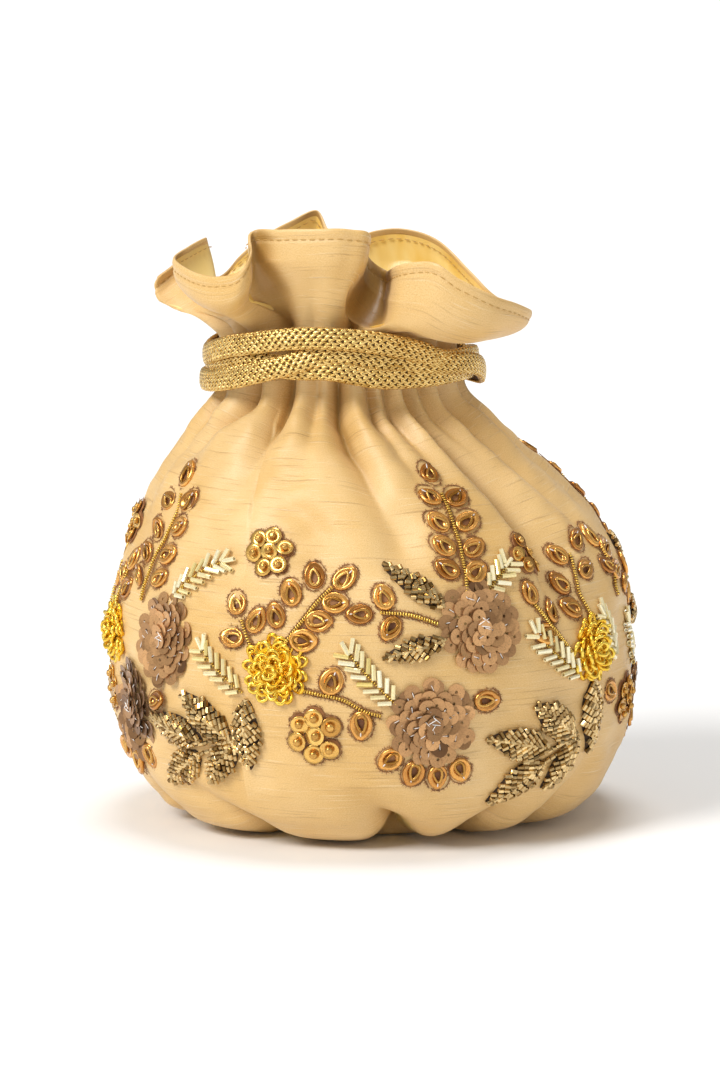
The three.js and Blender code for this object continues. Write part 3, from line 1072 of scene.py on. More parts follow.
@dataclass(frozen=True)
class Paper:
    """The pale floor that the pouch stands on.

    Attributes:
        colour: The paper's colour.
    """

    colour: Colour = (0.90, 0.895, 0.885)

    def make(self) -> bpy.types.Material:
        """Builds the finish.

        Returns:
            The material.
        """
        r = Recipe("pale_paper", Base_Color=self.colour, Roughness=0.7)
        r.shader.inputs["Specular IOR Level"].default_value = 0.2
        return r.material


class Finish(Enum):
    """The finishes that the trimmings are made in."""

    KNIT = Tinted("knitted_gold", (0.50, 0.29, 0.06), (0.98, 0.71, 0.27), 0.26, 0.85)
    # painted shade: the cord's core is near-black so that the gaps between the knitted legs show dark,
    # as shade
    CORE = Tinted("cord_core", (0.10, 0.045, 0.01), (0.17, 0.085, 0.02), 0.7, 0.1)
    SEQUIN = Tinted("rose_brown_sequin", (0.17, 0.08, 0.03), (0.72, 0.40, 0.17), 0.32, 0.6)
    WIRE = Tinted("bright_wire", (0.90, 0.50, 0.02), (1.0, 0.76, 0.13), 0.24, 0.85, 0, 0.00004, 5000)
    BUGLE = Tinted("lined_tube_bead", (0.86, 0.66, 0.20), (1.0, 0.93, 0.66), 0.14, 0.35, 0.8)
    CUT_BEAD = Tinted("antique_cut_bead", (0.22, 0.12, 0.03), (0.92, 0.68, 0.33), 0.2, 0.9)
    # painted shade: near-black backing under the cut beads, partly dark thread and partly the shade in
    # the gaps between the beads
    BACKING = Tinted("dark_backing", (0.03, 0.014, 0.005), (0.07, 0.034, 0.012), 0.8)
    FOIL = Tinted("amber_foil", (0.42, 0.15, 0.02), (0.92, 0.47, 0.11), 0.25, 0.75, 0.35)
    LOOP = Tinted("twisted_gold", (0.34, 0.15, 0.02), (0.80, 0.47, 0.13), 0.28, 0.8)
    PURL = Tinted("gold_purl", (0.72, 0.42, 0.05), (1.0, 0.74, 0.20), 0.26, 0.85)
    CUP = Tinted("amber_cup", (0.50, 0.21, 0.025), (0.98, 0.62, 0.16), 0.24, 0.75, 0.3)
    CLEAR_THREAD = Tinted("clear_thread", (0.78, 0.70, 0.62), (0.95, 0.92, 0.88), 0.35, 0, 0.3)
    BROWN_THREAD = Tinted("brown_thread", (0.17, 0.06, 0.018), (0.42, 0.19, 0.065), 0.6)
    HEM_THREAD = Tinted("hem_thread", (0.56, 0.33, 0.09), (0.70, 0.46, 0.17), 0.5)

    def material(self) -> bpy.types.Material:
        """Returns the finish's material, made once."""
        made = bpy.data.materials.get(self.value.name)
        return made if made is not None else self.value.make()


# ---------------------------------------------------------------- setting shapes in place


class NodeKit:
    """Builds one tree of geometry nodes."""

    def __init__(self, name: str) -> None:
        """Starts a tree that takes a geometry and gives one back.

        Args:
            name: The tree's name.
        """
        self.tree = bpy.data.node_groups.new(name, "GeometryNodeTree")
        self.socket("Geometry", "NodeSocketGeometry")
        self.tree.interface.new_socket("Geometry", in_out="OUTPUT", socket_type="NodeSocketGeometry")
        self.start = self.tree.nodes.new("NodeGroupInput")
        self.end = self.tree.nodes.new("NodeGroupOutput")

    def socket(self, label: str, kind: str, value: object = None) -> None:
        """Adds a named input.

        Args:
            label: The input's name.
            kind: The socket's type.
            value: Its usual value.
        """
        made = self.tree.interface.new_socket(label, in_out="INPUT", socket_type=kind)
        if value is not None:
            made.default_value = value

    def given(self, label: str) -> bpy.types.NodeSocket:
        """Returns the tree's input of that name."""
        return self.start.outputs[label]

    def node(self, kind: str, settings: dict | None = None, **links: object) -> bpy.types.Node:
        """Adds a node.

        Args:
            kind: The node's type.
            settings: Values for the node's own settings.
            links: Sockets to join, or values to set, by input name with _ for a space.

        Returns:
            The node.
        """
        made = self.tree.nodes.new(kind)
        for label, value in (settings or {}).items():
            setattr(made, label, value)
        for label, value in links.items():
            named = [s for s in made.inputs if s.name == label.replace("_", " ") and s.enabled]
            if isinstance(value, bpy.types.NodeSocket):
                self.tree.links.new(value, named[0])
            else:
                named[0].default_value = value
        return made

    def read(self, name: str, kind: str) -> bpy.types.NodeSocket:
        """Returns an attribute of the points."""
        made = self.node("GeometryNodeInputNamedAttribute", {"data_type": kind}, Name=name)
        return next(s for s in made.outputs if s.name == "Attribute" and s.enabled)

    def finish(self, instances: bpy.types.NodeSocket) -> bpy.types.NodeTree:
        """Ends the tree.

        Args:
            instances: What has been set in place.

        Returns:
            The tree, which gives a plain mesh in its finish.
        """
        real = self.node("GeometryNodeRealizeInstances", Geometry=instances)
        done = self.node(
            "GeometryNodeSetMaterial", Geometry=real.outputs[0], Material=self.given("Finish")
        )
        self.tree.links.new(done.outputs[0], self.end.inputs[0])
        return self.tree


def setting_tree() -> bpy.types.NodeTree:
    """Builds the tree that sets one shape at every point, turned and stretched as the point says.

    Returns:
        The tree.
    """
    kit = NodeKit("set_shapes")
    kit.socket("Shape", "NodeSocketObject")
    kit.socket("Size", "NodeSocketFloat", 1.0)
    kit.socket("Size Spread", "NodeSocketFloat", 0.06)
    kit.socket("Seed", "NodeSocketInt", SEED)
    kit.socket("Finish", "NodeSocketMaterial")
    shape = kit.node("GeometryNodeObjectInfo", Object=kit.given("Shape"))
    low = kit.node("ShaderNodeMath", {"operation": "SUBTRACT"})
    low.inputs[0].default_value = 1.0
    kit.tree.links.new(kit.given("Size Spread"), low.inputs[1])
    high = kit.node("ShaderNodeMath", {"operation": "ADD"})
    high.inputs[0].default_value = 1.0
    kit.tree.links.new(kit.given("Size Spread"), high.inputs[1])
    spread = kit.node(
        "FunctionNodeRandomValue", {"data_type": "FLOAT"}, Min=low.outputs[0], Max=high.outputs[0],
        Seed=kit.given("Seed")
    )
    size = kit.node("ShaderNodeMath", {"operation": "MULTIPLY"})
    kit.tree.links.new(next(s for s in spread.outputs if s.enabled), size.inputs[0])
    kit.tree.links.new(kit.given("Size"), size.inputs[1])
    stretch = kit.node("ShaderNodeVectorMath", {"operation": "SCALE"})
    kit.tree.links.new(kit.read("stretch", "FLOAT_VECTOR"), stretch.inputs[0])
    kit.tree.links.new(size.outputs[0], stretch.inputs["Scale"])
    placed = kit.node(
        "GeometryNodeInstanceOnPoints", Points=kit.given("Geometry"),
        Instance=shape.outputs["Geometry"], Rotation=kit.read("turn", "QUATERNION"),
        Scale=stretch.outputs[0]
    )
    return kit.finish(placed.outputs[0])


def coil_tree() -> bpy.types.NodeTree:
    """Builds the tree that winds a close coil of wire along every line.

    Returns:
        The tree.
    """
    kit = NodeKit("wind_coil")
    kit.socket("Coil Radius", "NodeSocketFloat", 0.5 * MM)
    kit.socket("Wire Radius", "NodeSocketFloat", 0.2 * MM)
    kit.socket("Pitch", "NodeSocketFloat", 0.5 * MM)
    kit.socket("Lean", "NodeSocketFloat", 0.35)
    kit.socket("Finish", "NodeSocketMaterial")
    line = kit.node("GeometryNodeMeshToCurve", Mesh=kit.given("Geometry"))
    even = kit.node(
        "GeometryNodeResampleCurve", {"mode": "LENGTH"}, Curve=line.outputs[0],
        Length=kit.given("Pitch")
    )
    ring = kit.node(
        "GeometryNodeCurvePrimitiveCircle", {"mode": "RADIUS"}, Resolution=8,
        Radius=kit.given("Coil Radius")
    )
    wire = kit.node(
        "GeometryNodeCurvePrimitiveCircle", {"mode": "RADIUS"}, Resolution=4,
        Radius=kit.given("Wire Radius")
    )
    turn = kit.node("GeometryNodeCurveToMesh", Curve=ring.outputs[0], Profile_Curve=wire.outputs[0])
    tangent = kit.node("GeometryNodeInputTangent")
    aim = kit.node("FunctionNodeAlignRotationToVector", {"axis": "Z"}, Vector=tangent.outputs[0])
    lean = kit.node("ShaderNodeCombineXYZ", X=kit.given("Lean"))
    leant = kit.node("FunctionNodeEulerToRotation", Euler=lean.outputs[0])
    both = kit.node(
        "FunctionNodeRotateRotation", {"rotation_space": "LOCAL"}, Rotation=aim.outputs[0],
        Rotate_By=leant.outputs[0]
    )
    placed = kit.node(
        "GeometryNodeInstanceOnPoints", Points=even.outputs[0], Instance=turn.outputs[0],
        Rotation=both.outputs[0]
    )
    smooth = kit.node("GeometryNodeSetShadeSmooth", Geometry=placed.outputs[0])
    return kit.finish(smooth.outputs[0])


def stitch_tree() -> bpy.types.NodeTree:
    """Builds the tree that sews a running stitch along every line.

    Returns:
        The tree.
    """
    kit = NodeKit("running_stitch")
    kit.socket("Stitch Length", "NodeSocketFloat", 2.1 * MM)
    kit.socket("Pitch", "NodeSocketFloat", 3.0 * MM)
    kit.socket("Thread Radius", "NodeSocketFloat", 0.17 * MM)
    kit.socket("Finish", "NodeSocketMaterial")
    line = kit.node("GeometryNodeMeshToCurve", Mesh=kit.given("Geometry"))
    even = kit.node(
        "GeometryNodeResampleCurve", {"mode": "LENGTH"}, Curve=line.outputs[0],
        Length=kit.given("Pitch")
    )
    bead = kit.node("GeometryNodeMeshUVSphere", Segments=6, Rings=4, Radius=kit.given("Thread Radius"))
    share = kit.node("ShaderNodeMath", {"operation": "DIVIDE"})
    kit.tree.links.new(kit.given("Stitch Length"), share.inputs[0])
    kit.tree.links.new(kit.given("Thread Radius"), share.inputs[1])
    half = kit.node("ShaderNodeMath", {"operation": "MULTIPLY"})
    kit.tree.links.new(share.outputs[0], half.inputs[0])
    half.inputs[1].default_value = 0.5
    scale = kit.node("ShaderNodeCombineXYZ", X=1.0, Y=1.0, Z=half.outputs[0])
    tangent = kit.node("GeometryNodeInputTangent")
    aim = kit.node("FunctionNodeAlignRotationToVector", {"axis": "Z"}, Vector=tangent.outputs[0])
    placed = kit.node(
        "GeometryNodeInstanceOnPoints", Points=even.outputs[0], Instance=bead.outputs["Mesh"],
        Rotation=aim.outputs[0], Scale=scale.outputs[0]
    )
    smooth = kit.node("GeometryNodeSetShadeSmooth", Geometry=placed.outputs[0])
    return kit.finish(smooth.outputs[0])


def carry_out(
    carrier: bpy.types.Object, tree: bpy.types.NodeTree, name: str, **inputs: object
) -> bpy.types.Object:
    """Runs a tree on a mesh and keeps the result as a plain mesh.

    Args:
        carrier: The object that holds the tree's points or lines, which is used up.
        tree: The tree.
        name: The result's name.
        inputs: Values for the tree's inputs, by name with _ for a space.

    Returns:
        The result.
    """
    modifier = carrier.modifiers.new("Setting", "NODES")
    modifier.node_group = tree
    for label, value in inputs.items():
        socket = tree.interface.items_tree[label.replace("_", " ")]
        modifier[socket.identifier] = value
    seen = bpy.context.evaluated_depsgraph_get()
    mesh = bpy.data.meshes.new_from_object(
        carrier.evaluated_get(seen), preserve_all_data_layers=True, depsgraph=seen
    )
    spent = carrier.data
    bpy.data.objects.remove(carrier)
    bpy.data.meshes.remove(spent)
    mesh.name = name
    return object_from(mesh)


def lines_mesh(lines: Sequence[Array], closed: bool = False) -> bpy.types.Object:
    """Makes an object of bare lines for a tree to follow.

    Args:
        lines: The points of each line, in millimetres.
        closed: True to join each line's ends.

    Returns:
        The object.
    """
    points: list[Array] = []
    edges: list[tuple[int, int]] = []
    for line in lines:
        first = sum(len(part) for part in points)
        points.append(np.asarray(line))
        edges += [(first + i, first + i + 1) for i in range(len(line) - 1)]
        if closed:
            edges.append((first + len(line) - 1, first))
    mesh = bpy.data.meshes.new("lines")
    mesh.from_pydata([tuple(p) for p in np.concatenate(points) * MM], edges, [])
    return object_from(mesh)


def quaternions(right: Array, along: Array, out: Array) -> Array:
    """Turns sets of three axes into quaternions.

    Args:
        right: Where each shape's X points.
        along: Where its Y points.
        out: Where its Z points.

    Returns:
        Four numbers for each set, the real one first.
    """
    m = np.stack([right, along, out], axis=-1)
    squares = np.stack(
        [
            1 + m[:, 0, 0] + m[:, 1, 1] + m[:, 2, 2],
            1 + m[:, 0, 0] - m[:, 1, 1] - m[:, 2, 2],
            1 - m[:, 0, 0] + m[:, 1, 1] - m[:, 2, 2],
            1 - m[:, 0, 0] - m[:, 1, 1] + m[:, 2, 2],
        ],
        axis=1,
    )
    size = np.sqrt(np.maximum(squares, 0)) / 2
    w = size[:, 0]
    x = np.copysign(size[:, 1], m[:, 2, 1] - m[:, 1, 2])
    y = np.copysign(size[:, 2], m[:, 0, 2] - m[:, 2, 0])
    z = np.copysign(size[:, 3], m[:, 1, 0] - m[:, 0, 1])
    return np.stack([w, x, y, z], axis=1)


class Settings:
    """Places where one shape is to be set."""

    def __init__(self) -> None:
        """Starts with no places."""
        self.points: list[Array] = []
        self.turns: list[Array] = []
        self.stretches: list[Array] = []
        self.tints: list[Array] = []

    def add(
        self, points: Array, right: Array, along: Array, out: Array, stretch: Array, tint: Array
    ) -> None:
        """Adds places.

        Args:
            points: The places, in millimetres.
            right: Where each shape's X points.
            along: Where its Y points.
            out: Where its Z points.
            stretch: How much longer each is along its own axes, one or three numbers.
            tint: How light each one is, from 0 to 1.
        """
        points = np.atleast_2d(points)
        count = len(points)
        axes = [np.broadcast_to(unit(np.atleast_2d(axis)), (count, 3)) for axis in (right, along, out)]
        self.points.append(points)
        self.turns.append(quaternions(*axes))
        self.stretches.append(np.broadcast_to(np.asarray(stretch, float) * np.ones(3), (count, 3)))
        self.tints.append(np.broadcast_to(np.asarray(tint, float), (count,)))

    def make(
        self, name: str, shape: bpy.types.Object, finish: Finish, spread: float = 0.05
    ) -> bpy.types.Object:
        """Sets the shape at every place.

        Args:
            name: The piece's name.
            shape: The shape, made in metres about the origin.
            finish: The piece's finish.
            spread: How much the sizes vary.

        Returns:
            The piece.
        """
        mesh = bpy.data.meshes.new(name)
        mesh.from_pydata([tuple(p) for p in np.concatenate(self.points) * MM], [], [])
        turn = mesh.attributes.new("turn", "QUATERNION", "POINT")
        turn.data.foreach_set("value", np.concatenate(self.turns).astype(np.float32).ravel())
        stretch = mesh.attributes.new("stretch", "FLOAT_VECTOR", "POINT")
        stretch.data.foreach_set("vector", np.concatenate(self.stretches).astype(np.float32).ravel())
        write_number(mesh, "tint", np.clip(np.concatenate(self.tints), 0, 1))
        tree = bpy.data.node_groups.get("set_shapes") or setting_tree()
        piece = carry_out(
            object_from(mesh), tree, name, Shape=shape, Size_Spread=spread, Finish=finish.material()
        )
        bpy.data.objects.remove(shape)
        for spare in ("turn", "stretch"):
            if spare in piece.data.attributes:
                piece.data.attributes.remove(piece.data.attributes[spare])
        return piece


# ---------------------------------------------------------------- small shapes


def turned_shape(
    name: str, profile: Sequence[tuple[float, float]], sides: int, smooth: bool = True
) -> bpy.types.Object:
    """Turns a closed profile about Z.

    Args:
        name: The shape's name.
        profile: Radius and height of each point, in millimetres, going round the section
            with its inside on the left. A profile that starts and ends on the axis is capped.
        sides: How many sides the shape has.
        smooth: True for rounded shading.

    Returns:
        The shape.
    """
    angle = np.arange(sides) * 2 * math.pi / sides
    points: list[tuple[float, float, float]] = []
    rings: list[list[int]] = []
    for radius, height in profile:
        if radius == 0:
            rings.append([len(points)] * sides)
            points.append((0, 0, height))
        else:
            rings.append([len(points) + i for i in range(sides)])
            points += [(radius * math.cos(a), radius * math.sin(a), height) for a in angle]
    faces = []
    joins = list(zip(rings, rings[1:]))
    if profile[0][0] > 0:
        joins.append((rings[-1], rings[0]))
    for lower, upper in joins:
        for i in range(sides):
            j = (i + 1) % sides
            corners = [lower[i], lower[j], upper[j], upper[i]]
            faces.append(list(dict.fromkeys(corners)))
    return object_from(mesh_from(name, np.array(points) * MM, faces, smooth))


def laid_along(shape: bpy.types.Object) -> bpy.types.Object:
    """Lays a turned shape down, so that its axis runs along Y.

    Args:
        shape: The turned shape.

    Returns:
        The same shape.
    """
    points = np.array([tuple(v.co) for v in shape.data.vertices])
    laid = np.stack([points[:, 0], points[:, 2], -points[:, 1]], axis=1)
    shape.data.vertices.foreach_set("co", laid.astype(np.float32).ravel())
    return shape


def spindle(
    name: str, radius: float, length: float, sides: int = 5, fullness: float = 0.62
) -> bpy.types.Object:
    """Makes a short stitch of thread that lies along Y.

    Args:
        name: The shape's name.
        radius: Its half thickness, in millimetres.
        length: Its length, in millimetres.
        sides: How many sides it has.
        fullness: Where its full thickness starts, as a share of its half length.

    Returns:
        The shape.
    """
    half = length / 2
    profile = [(0, -half), (radius, -half * fullness), (radius, half * fullness), (0, half)]
    return laid_along(turned_shape(name, profile, sides))


def tube_shape(name: str, path: Array, radius: float, sides: int, closed: bool) -> bpy.types.Object:
    """Makes a round wire along a path near the XY plane.

    Args:
        name: The shape's name.
        path: The path's points, in millimetres.
        radius: The wire's radius, in millimetres.
        sides: The wire's sides.
        closed: True to join its ends.

    Returns:
        The shape.
    """
    path = np.asarray(path, float)
    if closed:
        along = np.roll(path, -1, axis=0) - np.roll(path, 1, axis=0)
    else:
        along = np.gradient(path, axis=0)
    along = unit(along)
    side = unit(np.cross(UP, along))
    top = np.cross(along, side)
    turn = np.arange(sides) * 2 * math.pi / sides
    ring = side[:, None] * np.cos(turn)[None, :, None] + top[:, None] * np.sin(turn)[None, :, None]
    points = (path[:, None] + radius * ring).reshape(-1, 3)
    count = len(path)
    faces = []
    for i in range(count if closed else count - 1):
        j = (i + 1) % count
        for k in range(sides):
            m = (k + 1) % sides
            faces.append([i * sides + k, i * sides + m, j * sides + m, j * sides + k])
    if not closed:
        faces.append([k for k in reversed(range(sides))])
        faces.append([(count - 1) * sides + k for k in range(sides)])
    return object_from(mesh_from(name, points * MM, faces))


def ribbed_loop(name: str, path: Array, high: float, low: float, sides: int) -> bpy.types.Object:
    """Makes a closed loop of bullion, whose coils show as ribs.

    Args:
        name: The shape's name.
        path: The loop's points, in millimetres.
        high: The radius on a rib.
        low: The radius between ribs.
        sides: The loop's sides.

    Returns:
        The shape.
    """
    shape = tube_shape(name, path, 1.0, sides, True)
    points = np.array([tuple(v.co) for v in shape.data.vertices]).reshape(len(path), sides, 3)
    middle = np.asarray(path)[:, None] * MM
    radius = np.where(np.arange(len(path)) % 2, high, low)[:, None, None]
    shape.data.vertices.foreach_set(
        "co", (middle + (points - middle) * radius).astype(np.float32).ravel()
    )
    return shape


def foil_cup(name: str) -> bpy.types.Object:
    """Makes a leaf's foil cup, open in its middle and pointed at its tip, along Y.

    Args:
        name: The shape's name.

    Returns:
        The shape.
    """
    sides = 14
    turn = np.arange(sides) * 2 * math.pi / sides
    # share of the outline and height, in millimetres
    levels = (
        (0.98, -0.35), (1.0, 0.35), (0.9, 0.82), (0.74, 0.78), (0.56, 0.42), (0.36, 0.2), (0.34, -0.35)
    )
    points = []
    for share, height in levels:
        pointed = 1 + 0.2 * np.maximum(0, np.sin(turn)) ** 5
        x, y = 3.35 * share * np.cos(turn), 3.9 * share * np.sin(turn) * pointed
        points.append(np.stack([x, y, np.full(sides, height)], axis=1))
    faces = grid_faces(len(levels), sides).tolist()
    last = (len(levels) - 1) * sides
    faces += [[last + i, last + (i + 1) % sides, (i + 1) % sides, i] for i in range(sides)]
    return object_from(mesh_from(name, np.concatenate(points) * MM, faces))


def dark_oval(name: str) -> bpy.types.Object:
    """Makes the thin dark felt patch under a leaf or a flower.

    Args:
        name: The shape's name.

    Returns:
        The patch.
    """
    sides = 16
    turn = np.arange(sides) * 2 * math.pi / sides
    levels = ((1, -0.4), (0.97, 0.12))
    rings = [
        np.stack([size * np.cos(turn), size * np.sin(turn), np.full(sides, z)], axis=1)
        for size, z in levels
    ]
    faces = grid_faces(2, sides).tolist() + [list(range(sides))[::-1], list(range(sides, 2 * sides))]
    return object_from(mesh_from(name, np.concatenate(rings) * MM, faces, False))


# ---------------------------------------------------------------- the cloth


@dataclass
class SilkBody:
    """The gathered sleeve of silk, from its hem under the board to the turned-in ruffle edge.

    Attributes:
        shape: The pouch's shape.
        columns: Points round each row.
        body_rows: Rows below the neck.
        neck_rows: Rows under the cord.
        ruffle_rows: Rows above the neck.
        hem_radius: The radius of the raw hem beside the board.
        hem_height: The hem's height above the floor.
        turn_in: How far the ruffle's edge is turned down inside.
        cloth: The cloth's thickness at the edge.
        topstitch: From the edge to the line of stitches.
    """

    shape: PouchShape
    columns: int = 380
    body_rows: int = 148
    neck_rows: int = 16
    ruffle_rows: int = 68
    hem_radius: float = 41.6
    hem_height: float = 0.9
    turn_in: float = 2.2
    cloth: float = 0.9
    topstitch: float = 3.0

    def build(self) -> bpy.types.Object:
        """Makes the silk.

        Returns:
            The silk.
        """
        self.grid = ClothGrid(self.shape, self.columns, self.body_rows, self.neck_rows, self.ruffle_rows)
        self._press_topstitch()
        rows = np.concatenate([self._hem(), self.grid.points, self._turned_edge()])
        count = len(rows)
        mesh = mesh_from("silk", rows.reshape(-1, 3) * MM, grid_faces(count, self.columns))
        write_uv(mesh, corner_uv(self.grid.cloth_uv(rows), count, self.columns))
        # painted shade: each point carries how deep it lies in a fold, which darkens the silk's colour
        # there
        write_number(mesh, "groove", self._painted_fold_shade(rows).ravel())
        piece = object_from(mesh, RawSilk().make())
        keep(piece, ["silk_body"])
        return piece

    def _hem(self) -> Array:
        """Returns the rows from the hem to the ring that the bag stands on.

        Returns:
            The points, in rows and columns.
        """
        ring = self.grid.points[0]
        turn = np.arctan2(ring[:, 1], ring[:, 0])
        hem = np.stack(
            [
                self.hem_radius * np.cos(turn), self.hem_radius * np.sin(turn),
                np.full(len(ring), self.hem_height)
            ],
            axis=1
        )
        shares = np.array([0, 0.33, 0.66])
        return hem[None] * (1 - shares[:, None, None]) + ring[None] * shares[:, None, None]

    def _press_topstitch(self) -> None:
        """Pulls the cloth in along the line of stitches below the ruffle's edge."""
        points = self.grid.points
        gap = np.linalg.norm(np.diff(points, axis=0), axis=2)[::-1].cumsum(axis=0)[::-1]
        below = np.concatenate([gap, np.zeros((1, gap.shape[1]))])
        groove = 0.28 * np.exp(-(((below - self.topstitch) / 0.55) ** 2))
        swell = 0.22 * np.exp(-(((below - 0.9) / 1.1) ** 2))
        self.below = below
        self.out = self.grid.normals()
        self.grid.points = points + self.out * (swell - groove)[..., None]

    def _turned_edge(self) -> Array:
        """Returns the rows that roll over the edge and go down inside.

        Returns:
            The points, in rows and columns.
        """
        rows = self.grid.points
        edge = rows[-1]
        out = self.out[-1]
        upward = unit(rows[-1] - rows[-3])
        below = rows[-1] - upward * self.turn_in
        inner = [
            edge + upward * 0.28 - out * 0.2, edge + upward * 0.28 - out * 0.65,
            edge - out * self.cloth, below - out * self.cloth
        ]
        return np.stack(inner)

    def _painted_fold_shade(self, rows: Array) -> Array:
        """Measures how deep each point lies in a fold, as the share of painted shade that the silk's
        colour takes there, from 0 to 0.9.

        Args:
            rows: The points, in rows and columns.

        Returns:
            The share of painted shade at each point.
        """
        middle = rows.copy()
        for _ in range(18):
            middle = (np.roll(middle, 1, axis=1) + np.roll(middle, -1, axis=1) + 2 * middle) / 4
        span = middle.copy()
        for _ in range(70):
            span = (np.roll(span, 3, axis=1) + np.roll(span, -3, axis=1) + 2 * span) / 4
        along = np.roll(span, -1, axis=1) - np.roll(span, 1, axis=1)
        upward = np.gradient(span, axis=0)
        out = unit(np.cross(along, upward))
        sunk = ((span - rows) * out).sum(axis=2)
        return smooth_step(sunk, 0.5, 5.0) * 0.9


@dataclass
class SatinLining:
    """The lining, a smaller sleeve that the silk hides but for the inside of its mouth.

    Attributes:
        shape: The pouch's shape.
        gap: How far inside the silk it lies at the edge.
        slack: How far inside the silk it hangs below.
        columns: Points round each row.
        body_rows: Rows below the neck.
        neck_rows: Rows under the cord.
        ruffle_rows: Rows above the neck.
        below_edge: How far under the ruffle's edge it ends.
    """

    shape: PouchShape
    gap: float = 0.62
    slack: float = 5.0
    columns: int = 380
    body_rows: int = 44
    neck_rows: int = 8
    ruffle_rows: int = 44
    below_edge: float = 1.4

    def build(self) -> bpy.types.Object:
        """Makes the lining.

        Returns:
            The lining.
        """
        grid = ClothGrid(self.shape, self.columns, self.body_rows, self.neck_rows, self.ruffle_rows)
        rows = self._inside(grid)
        rows[-1] = rows[-1] - unit(rows[-1] - rows[-2]) * self.below_edge
        rows[0, :, 2] = 3.2
        foot = rows[0]
        shares = np.array([0.0, 0.04, 0.3, 0.55, 0.8])
        floor = foot[None] * shares[:, None, None]
        floor[..., 2] = 3.0
        rows = np.concatenate([floor, rows])
        count = len(rows)
        faces = grid_faces(count, self.columns)
        points = rows.reshape(-1, 3)
        capped = np.maximum(faces - (self.columns - 1), 0)
        listed = [list(dict.fromkeys(face)) for face in capped[:, ::-1].tolist()]
        mesh = mesh_from("lining", points[self.columns - 1 :] * MM, listed)
        uv = corner_uv(grid.cloth_uv(rows), count, self.columns).reshape(-1, 4, 2)[:, ::-1]
        kept = [
            corner for face, corners in zip(capped[:, ::-1].tolist(), uv)
            for k, corner in enumerate(corners) if face.index(face[k]) == k
        ]
        write_uv(mesh, np.array(kept))
        piece = object_from(mesh, Satin().make())
        keep(piece, ["satin_lining"])
        return piece

    def _inside(self, grid: ClothGrid) -> Array:
        """Draws the silk's points in, towards the middle below and straight in near the edge.

        Args:
            grid: The silk's points.

        Returns:
            The lining's points, in rows and columns.
        """
        close = grid.points - grid.normals() * self.gap
        axis = np.array([self.shape.neck_x, 0.0, 0.0])
        spoke = unit((grid.points - axis) * np.array([1.0, 1.0, 0.0]))
        slack = grid.points - spoke * self.slack
        share = np.zeros((len(grid.points), 1, 1))
        share[-self.ruffle_rows :, 0, 0] = smooth_step(
            np.arange(self.ruffle_rows) / self.ruffle_rows, 0.15, 0.6
        )
        return slack * (1 - share) + close * share


@dataclass
class CoveredBoard:
    """The round board in the base, covered with the same silk.

    Attributes:
        radius: Its radius.
        thickness: Its thickness.
        sides: Points round it.
        rings: Rings across its underside.
    """

    radius: float = 40.0
    thickness: float = 1.8
    sides: int = 120
    rings: int = 14

    def build(self) -> bpy.types.Object:
        """Makes the board, with the cloth's slight puckers where it is turned over the edge.

        Returns:
            The piece.
        """
        edge = 0.8
        inner = np.linspace(0, self.radius - edge, self.rings)
        profile = [(r, 0.0) for r in inner]
        profile += [(self.radius - 0.22, 0.24), (self.radius, self.thickness / 2)]
        profile += [(self.radius - 0.22, self.thickness - 0.24)]
        profile += [(r, self.thickness) for r in inner[::-1]]
        turn = np.arange(self.sides) * 2 * math.pi / self.sides
        rows = []
        for radius, height in profile:
            pucker = 0.12 * (np.sin(turn * 37) + np.sin(turn * 23 + 1)) * smooth_step(radius, 26, 40)
            lift = np.where(height < 1, np.abs(pucker) * 0.5, 0)
            rows.append(np.stack([radius * np.cos(turn), radius * np.sin(turn), height + lift], axis=1))
        points = np.stack(rows)
        faces = [
            list(dict.fromkeys(f)) for f in self._capped(grid_faces(len(rows), self.sides)).tolist()
        ]
        flat = points.reshape(-1, 3)[self.sides - 1 : len(rows) * self.sides - self.sides + 1]
        mesh = mesh_from("base_board", flat * MM, faces)
        corners = np.zeros(len(mesh.loops), dtype=np.int32)
        mesh.loops.foreach_get("vertex_index", corners)
        write_uv(mesh, flat[corners][:, :2] / 10)
        # painted shade: the board takes a flat tenth of the silk's painted fold shade
        write_number(mesh, "groove", np.full(len(flat), 0.1))
        piece = object_from(mesh, bpy.data.materials["raw_silk"])
        return keep(piece, ["base_disc"])

    def _capped(self, faces: Array) -> Array:
        """Gathers the first and last rings' points into one each."""
        last = faces.max() - self.sides + 1
        return np.minimum(np.maximum(faces, self.sides - 1), last) - (self.sides - 1)


@dataclass
class HemStitching:
    """The running stitch that holds the turned edge, seen on both faces of the ruffle.

    Attributes:
        silk: The silk that it is sewn through.
        below: How far under the edge it runs.
        stitch: A stitch's length.
        pitch: From one stitch to the next.
        thread: The thread's radius.
    """

    silk: SilkBody
    below: float = 3.0
    stitch: float = 2.0
    pitch: float = 2.9
    thread: float = 0.19

    def build(self) -> bpy.types.Object:
        """Makes the stitches.

        Returns:
            The piece.
        """
        lines = [self._line(0.05), self._line(-1.0)]
        tree = stitch_tree()
        piece = carry_out(
            lines_mesh(lines, closed=True), tree, "hem_stitches", Stitch_Length=self.stitch * MM,
            Pitch=self.pitch * MM, Thread_Radius=self.thread * MM, Finish=Finish.HEM_THREAD.material()
        )
        return keep(piece)

    def _line(self, proud: float) -> Array:
        """Follows the cloth a set way below its edge.

        Args:
            proud: How far out from the cloth's outer face the line runs.

        Returns:
            The line's points, in millimetres.
        """
        grid, below, out = self.silk.grid.points, self.silk.below, self.silk.out
        found = np.empty((grid.shape[1], 3))
        for c in range(grid.shape[1]):
            rows = grid[::-1, c] + out[::-1, c] * proud
            along = below[::-1, c]
            found[c] = [np.interp(self.below, along, rows[:, k]) for k in range(3)]
        return found


# ---------------------------------------------------------------- the drawcord


